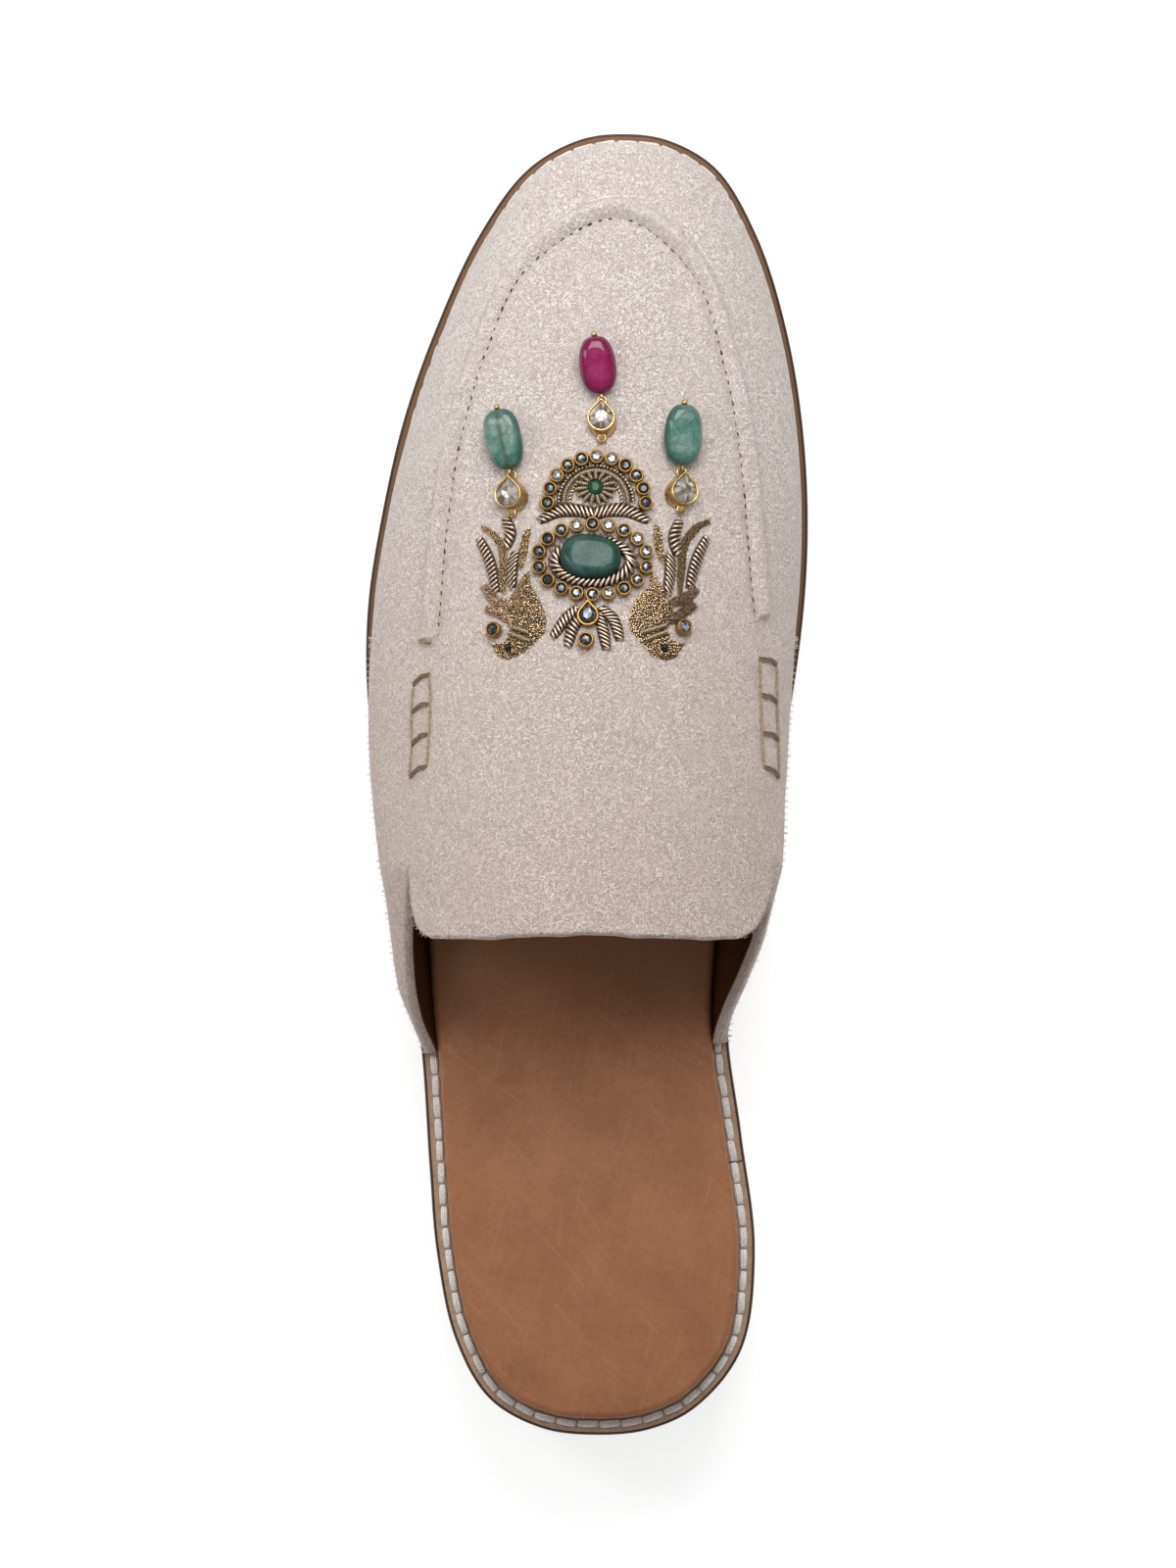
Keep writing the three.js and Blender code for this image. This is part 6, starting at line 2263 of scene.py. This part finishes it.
CREASES = (
    Crease(((-35.2, 4.0), (-35.9, -6.0), (-36.5, -15.0)), 0.55, 1.5),
    Crease(((38.4, 3.0), (38.6, -6.0), (38.3, -15.0)), 0.6, 1.5),
    Crease(((-33.0, -4.0), (-31.5, -14.0), (-31.0, -24.0)), -0.35, 3.0),
    Crease(((34.0, -4.0), (33.0, -14.0), (32.0, -24.0)), -0.35, 3.0),
    Crease(((-31.6, 27.5), (-33.0, 16.0), (-34.6, 4.0)), 0.35, 1.4),
    Crease(((34.9, 31.5), (35.6, 18.0), (36.9, 4.0)), 0.35, 1.4),
    Crease(((-22.0, 84.0), (-10.0, 99.0), (6.0, 106.0), (18.0, 98.0), (25.0, 82.0)), 0.5, 4.5),
    Crease(((-26.0, 6.0), (-8.0, 1.5), (14.0, 3.0), (28.0, 8.0)), 0.22, 6.0),
    Crease(((-24.0, -12.0), (-4.0, -16.0), (20.0, -13.0)), 0.25, 5.0),
    Crease(((-41.5, 24.0), (-40.5, 8.0), (-41.0, -12.0)), 0.45, 3.2),
    Crease(((42.5, 30.0), (42.0, 12.0), (42.5, -8.0)), 0.45, 3.2),
    Crease(((-38.6, 62.0), (-35.0, 80.0), (-27.0, 98.0)), 0.35, 3.0),
)


@dataclass
class Seams:
    """Stitching of the upper: needle holes of the apron, its second row, and a ladder at each slit."""

    surface: BVHTree
    rims: list[tuple[np.ndarray, np.ndarray]]
    hole_pitch: float = 2.12
    hole_size: tuple[float, float, float] = (0.5, 0.95, 0.12)
    hole_inset: float = 0.55
    hole_ends: tuple[float, float] = (29.0, 33.5)
    row_pitch: float = 1.7
    row_size: tuple[float, float, float] = (0.4, 1.3, 0.3)
    fuzz: float = 2.2

    def build(self) -> None:
        """Build every row of stitches and hand it to the frame."""
        self.build_fuzz()
        self.build_holes()
        self.build_second_row()
        self.build_ladders()

    def drape(self, plan: np.ndarray) -> tuple[np.ndarray, np.ndarray]:
        """Lay points on the suede from above.

        Args:
            plan: Points across and along, one a row.

        Returns:
            The points and the suede's normals there.
        """
        down = Vector((0, 0, -1))
        hits = [self.surface.ray_cast(Vector((x, y, 200)), down)[:2] for x, y in plan.tolist()]
        return np.array([tuple(hit[0]) for hit in hits]), np.array([tuple(hit[1]) for hit in hits])

    def build_fuzz(self) -> None:
        """Let short fibres stand out of the tongue's raw edge and down the sides of the quarters."""
        pale = Thread("loose_suede_fibre", "#e0d6d0", "#c9bcb4", roughness=0.9).make()
        rng = np.random.default_rng(9)
        points, ups, alongs = [], [], []
        for polygon, outward in self.rims:
            for _ in range(rng.poisson(self.fuzz)):
                points.append(rng.dirichlet(np.ones(len(polygon))) @ polygon)
                ups.append(unit(outward + rng.normal(0, 0.35, 3)))
                alongs.append(unit(rng.normal(0, 1, 3)))
        share = np.linspace(0, 1, 4)
        hair = np.column_stack([0.12 * share ** 2, 0 * share, 0.75 * share - 0.1])
        template = make_object("fibre", tube(hair, 0.035, sides=3), [pale])
        sizes = rng.uniform(0.4, 1.3, len(points))
        fuzz = set_pieces("suede_fuzz", template, np.array(points), np.array(ups), np.array(alongs), 3.1,
                          0.2, 1, sizes)
        finish_piece(fuzz)

    def sew_row(self, name: str, finish: Thread, size: tuple[float, float, float], steps: int,
                lines: Sequence[np.ndarray], pitch: float, turn: float, vary: float, seed: int) -> None:
        """Set stitches at an even pitch along lines on the suede.

        Args:
            name: Name of the piece.
            finish: Its material.
            size: Size of a stitch.
            steps: Number of steps along it.
            lines: Lines in the plan.
            pitch: Distance between two stitches.
            turn: How far one may turn, in radians.
            vary: How far its size may differ, as a share.
            seed: Seed of the differences.
        """
        rows = [read_line(line, np.arange(pitch / 2, lengths_along(line)[-1], pitch)) for line in lines]
        along = np.vstack([unit(np.gradient(row, axis=0)) for row in rows])
        points, normals = self.drape(np.vstack(rows))
        template = make_object("stitch", tumbled(*size, 1, steps, 8), [finish.make()])
        finish_piece(set_pieces(name, template, points, normals, along, turn, vary, seed))

    def build_holes(self) -> None:
        """Sink a needle hole at every stitch along the foot of the ridge."""
        dark = Thread("shadowed_needle_hole", "#3a2b22", "#221812")
        line = LAST.apron
        apex = int(np.argmax(line[:, 1]))
        lateral_end, medial_end = self.hole_ends
        keep = np.concatenate([line[:apex, 1] > lateral_end, line[apex:, 1] > medial_end])
        inward = unit(FAN_CENTRE * (1, 0.6) - line) * self.hole_inset
        self.sew_row("apron_needle_holes", dark, self.hole_size, 6, [(line + inward)[keep]],
                     self.hole_pitch,
                     0.35, 0.25, 2)

    def build_second_row(self) -> None:
        """Lay the faint outer row of stitches, which shows at the toe and down the medial side."""
        pale = Thread("pale_suede_thread", "#e9e1db", "#cfc4bc")
        rows = [from_photo((354, 330), (372, 326), (392, 325.5), (412, 329)),
                from_photo((419, 334), (440, 353), (455, 377), (466, 394), (474, 409), (482, 432))]
        self.sew_row("second_stitch_row", pale, self.row_size, 7,
                     [curve_through(row, False, 60) for row in rows],
                     self.row_pitch, 0.12, 0.12, 6)

    def build_ladders(self) -> None:
        """Sew the ladder of whip stitches over each end of the apron seam."""
        brown = Thread("waxed_brown_thread", "#9b7d5e", "#67503a").make()
        tan = Thread("tan_thread", "#b59b7c", "#866d50").make()
        left = (((218, 737), (219, 762), (218, 788), (216, 816)),
                ((204, 747), (203, 770), (203, 798), (201, 826)))
        right = (((501, 724), (502, 755), (503, 788), (505, 817)),
                 ((516, 729), (516, 761), (517, 793), (518, 826)))
        rungs = (*zip(*left[::-1]), *zip(*right))
        self.sew("ladder_rungs", rungs, 0.19, 0.3, brown, strands=3)
        self.sew("ladder_rails", (*left, *right), 0.17, 0.05, tan, strands=2, twist=9.0)
        self.sew("ladder_remnant", (((209, 709), (219, 710)),), 0.16, 0.2, tan, strands=2)

    def sew(self, name: str, paths: Sequence, radius: float, arch: float, finish: bpy.types.Material,
            strands: int, twist: float = 0.6) -> None:
        """Lay threads over the suede.

        Args:
            name: Name of the piece.
            paths: Each thread's places in the photograph.
            radius: Radius of the thread.
            arch: How far its middle stands off the suede.
            finish: Its material.
            strands: Number of strands that lie side by side in it.
            twist: Turns that they make round each other.
        """
        parts = []
        for path in paths:
            line = from_photo(*path)
            if len(line) == 2:
                line = np.insert(line, 1, line.mean(axis=0) + (0, 0.45), axis=0)
            points, normals = self.drape(curve_through(line, False, 16))
            side = np.cross(normals, unit(np.gradient(points, axis=0)))
            share = np.linspace(0, 1, len(points))
            lift = radius * 1.4 + arch * np.sin(np.pi * share)
            lift[[0, -1]] = -radius
            for number in range(strands):
                turn = math.tau * (share * twist + number / strands)
                strand = points + normals * (lift + radius * 0.7 * np.sin(turn))[:, None]
                parts.append(tube(strand + side * (radius * 1.5 * np.cos(turn))[:, None], radius, sides=6))
        finish_piece(make_object(name, joined(parts), [finish], sharp=80))


@dataclass
class Studio:
    """A pale floor, soft light from the toe's side, and the camera over the shoe."""

    floor_size: float = 4.0
    lens_mm: float = 1100.0
    shown_height: float = 0.320
    look_at: tuple[float, float] = (0.0, 0.0)

    def build(self) -> None:
        """Build the floor, the lights and the camera."""
        self.build_floor()
        self.build_lights()
        self.build_camera()

    def build_floor(self) -> None:
        """Build the floor, which glows a little so that it stays near white under the shoe."""
        material = end_material(start_material("studio_paper")[0], {
            "Base Color": linear("#c8c8c8"), "Roughness": 1.0, "Emission Color": linear("#ffffff"),
            "Emission Strength": 0.75})
        half = self.floor_size / MM / 2
        corners = np.array([(-half, -half, 0), (half, -half, 0), (half, half, 0), (-half, half, 0)])
        make_object("floor", (corners, [(0, 1, 2, 3)]), [material])

    def build_lights(self) -> None:
        """Light the shoe with a large soft panel over the toe, a second one over it and a pale room."""
        world = bpy.data.worlds.new("pale_room")
        world.use_nodes = True
        world.node_tree.nodes["Background"].inputs["Color"].default_value = linear("#ffffff")
        world.node_tree.nodes["Background"].inputs["Strength"].default_value = 0.28
        bpy.context.scene.world = world
        panels = (
            ("toe_panel", (0.03, 0.28, 0.42), (0.3, 0.3), 1.8),
            ("top_panel", (0.0, 0.3, 1.7), (1.2, 1.2), 1.5),
            ("side_strip", (-0.42, 0.16, 0.46), (0.12, 0.45), 0.8),
        )
        for name, place, size, power in panels:
            light = bpy.data.lights.new(name, "AREA")
            light.shape = "RECTANGLE"
            light.size, light.size_y = size
            light.energy = power
            lamp = bpy.data.objects.new(name, light)
            lamp.location = place
            lamp.rotation_euler = (-Vector(place)).to_track_quat("-Z", "Y").to_euler()
            bpy.context.scene.collection.objects.link(lamp)

    def build_camera(self) -> None:
        """Hang the camera straight over the shoe, toe up, far enough away to see it without spreading."""
        camera = bpy.data.cameras.new("camera")
        camera.lens = self.lens_mm
        camera.sensor_width = 36.0
        distance = self.shown_height * self.lens_mm / camera.sensor_width
        eye = bpy.data.objects.new("camera", camera)
        eye.location = (self.look_at[0], self.look_at[1], distance)
        camera.clip_end = 2 * distance
        bpy.context.scene.collection.objects.link(eye)
        bpy.context.scene.camera = eye
        bpy.context.scene.view_settings.view_transform = "Standard"


def main() -> None:
    """Build the shoe piece by piece, then its studio."""
    logging.basicConfig(level=logging.INFO, format="%(name)s: %(message)s")
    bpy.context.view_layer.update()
    SoleUnit().build()
    upper = SuedeUpper()
    surface = upper.build()
    Seams(surface, upper.rims).build()
    work = Embroidery()
    # The dark second colour is partly tarnished metal and partly painted shade in the cups' hollows.
    antique = Metal("antique_gold_cup", "#a67c3e", "#3a230d", roughness=0.34, hollow_mm=0.5).make()
    Medallion(work, antique).build()
    build_danglers()
    build_birds(work)
    Studio().build()


if __name__ == "__main__":
    main()
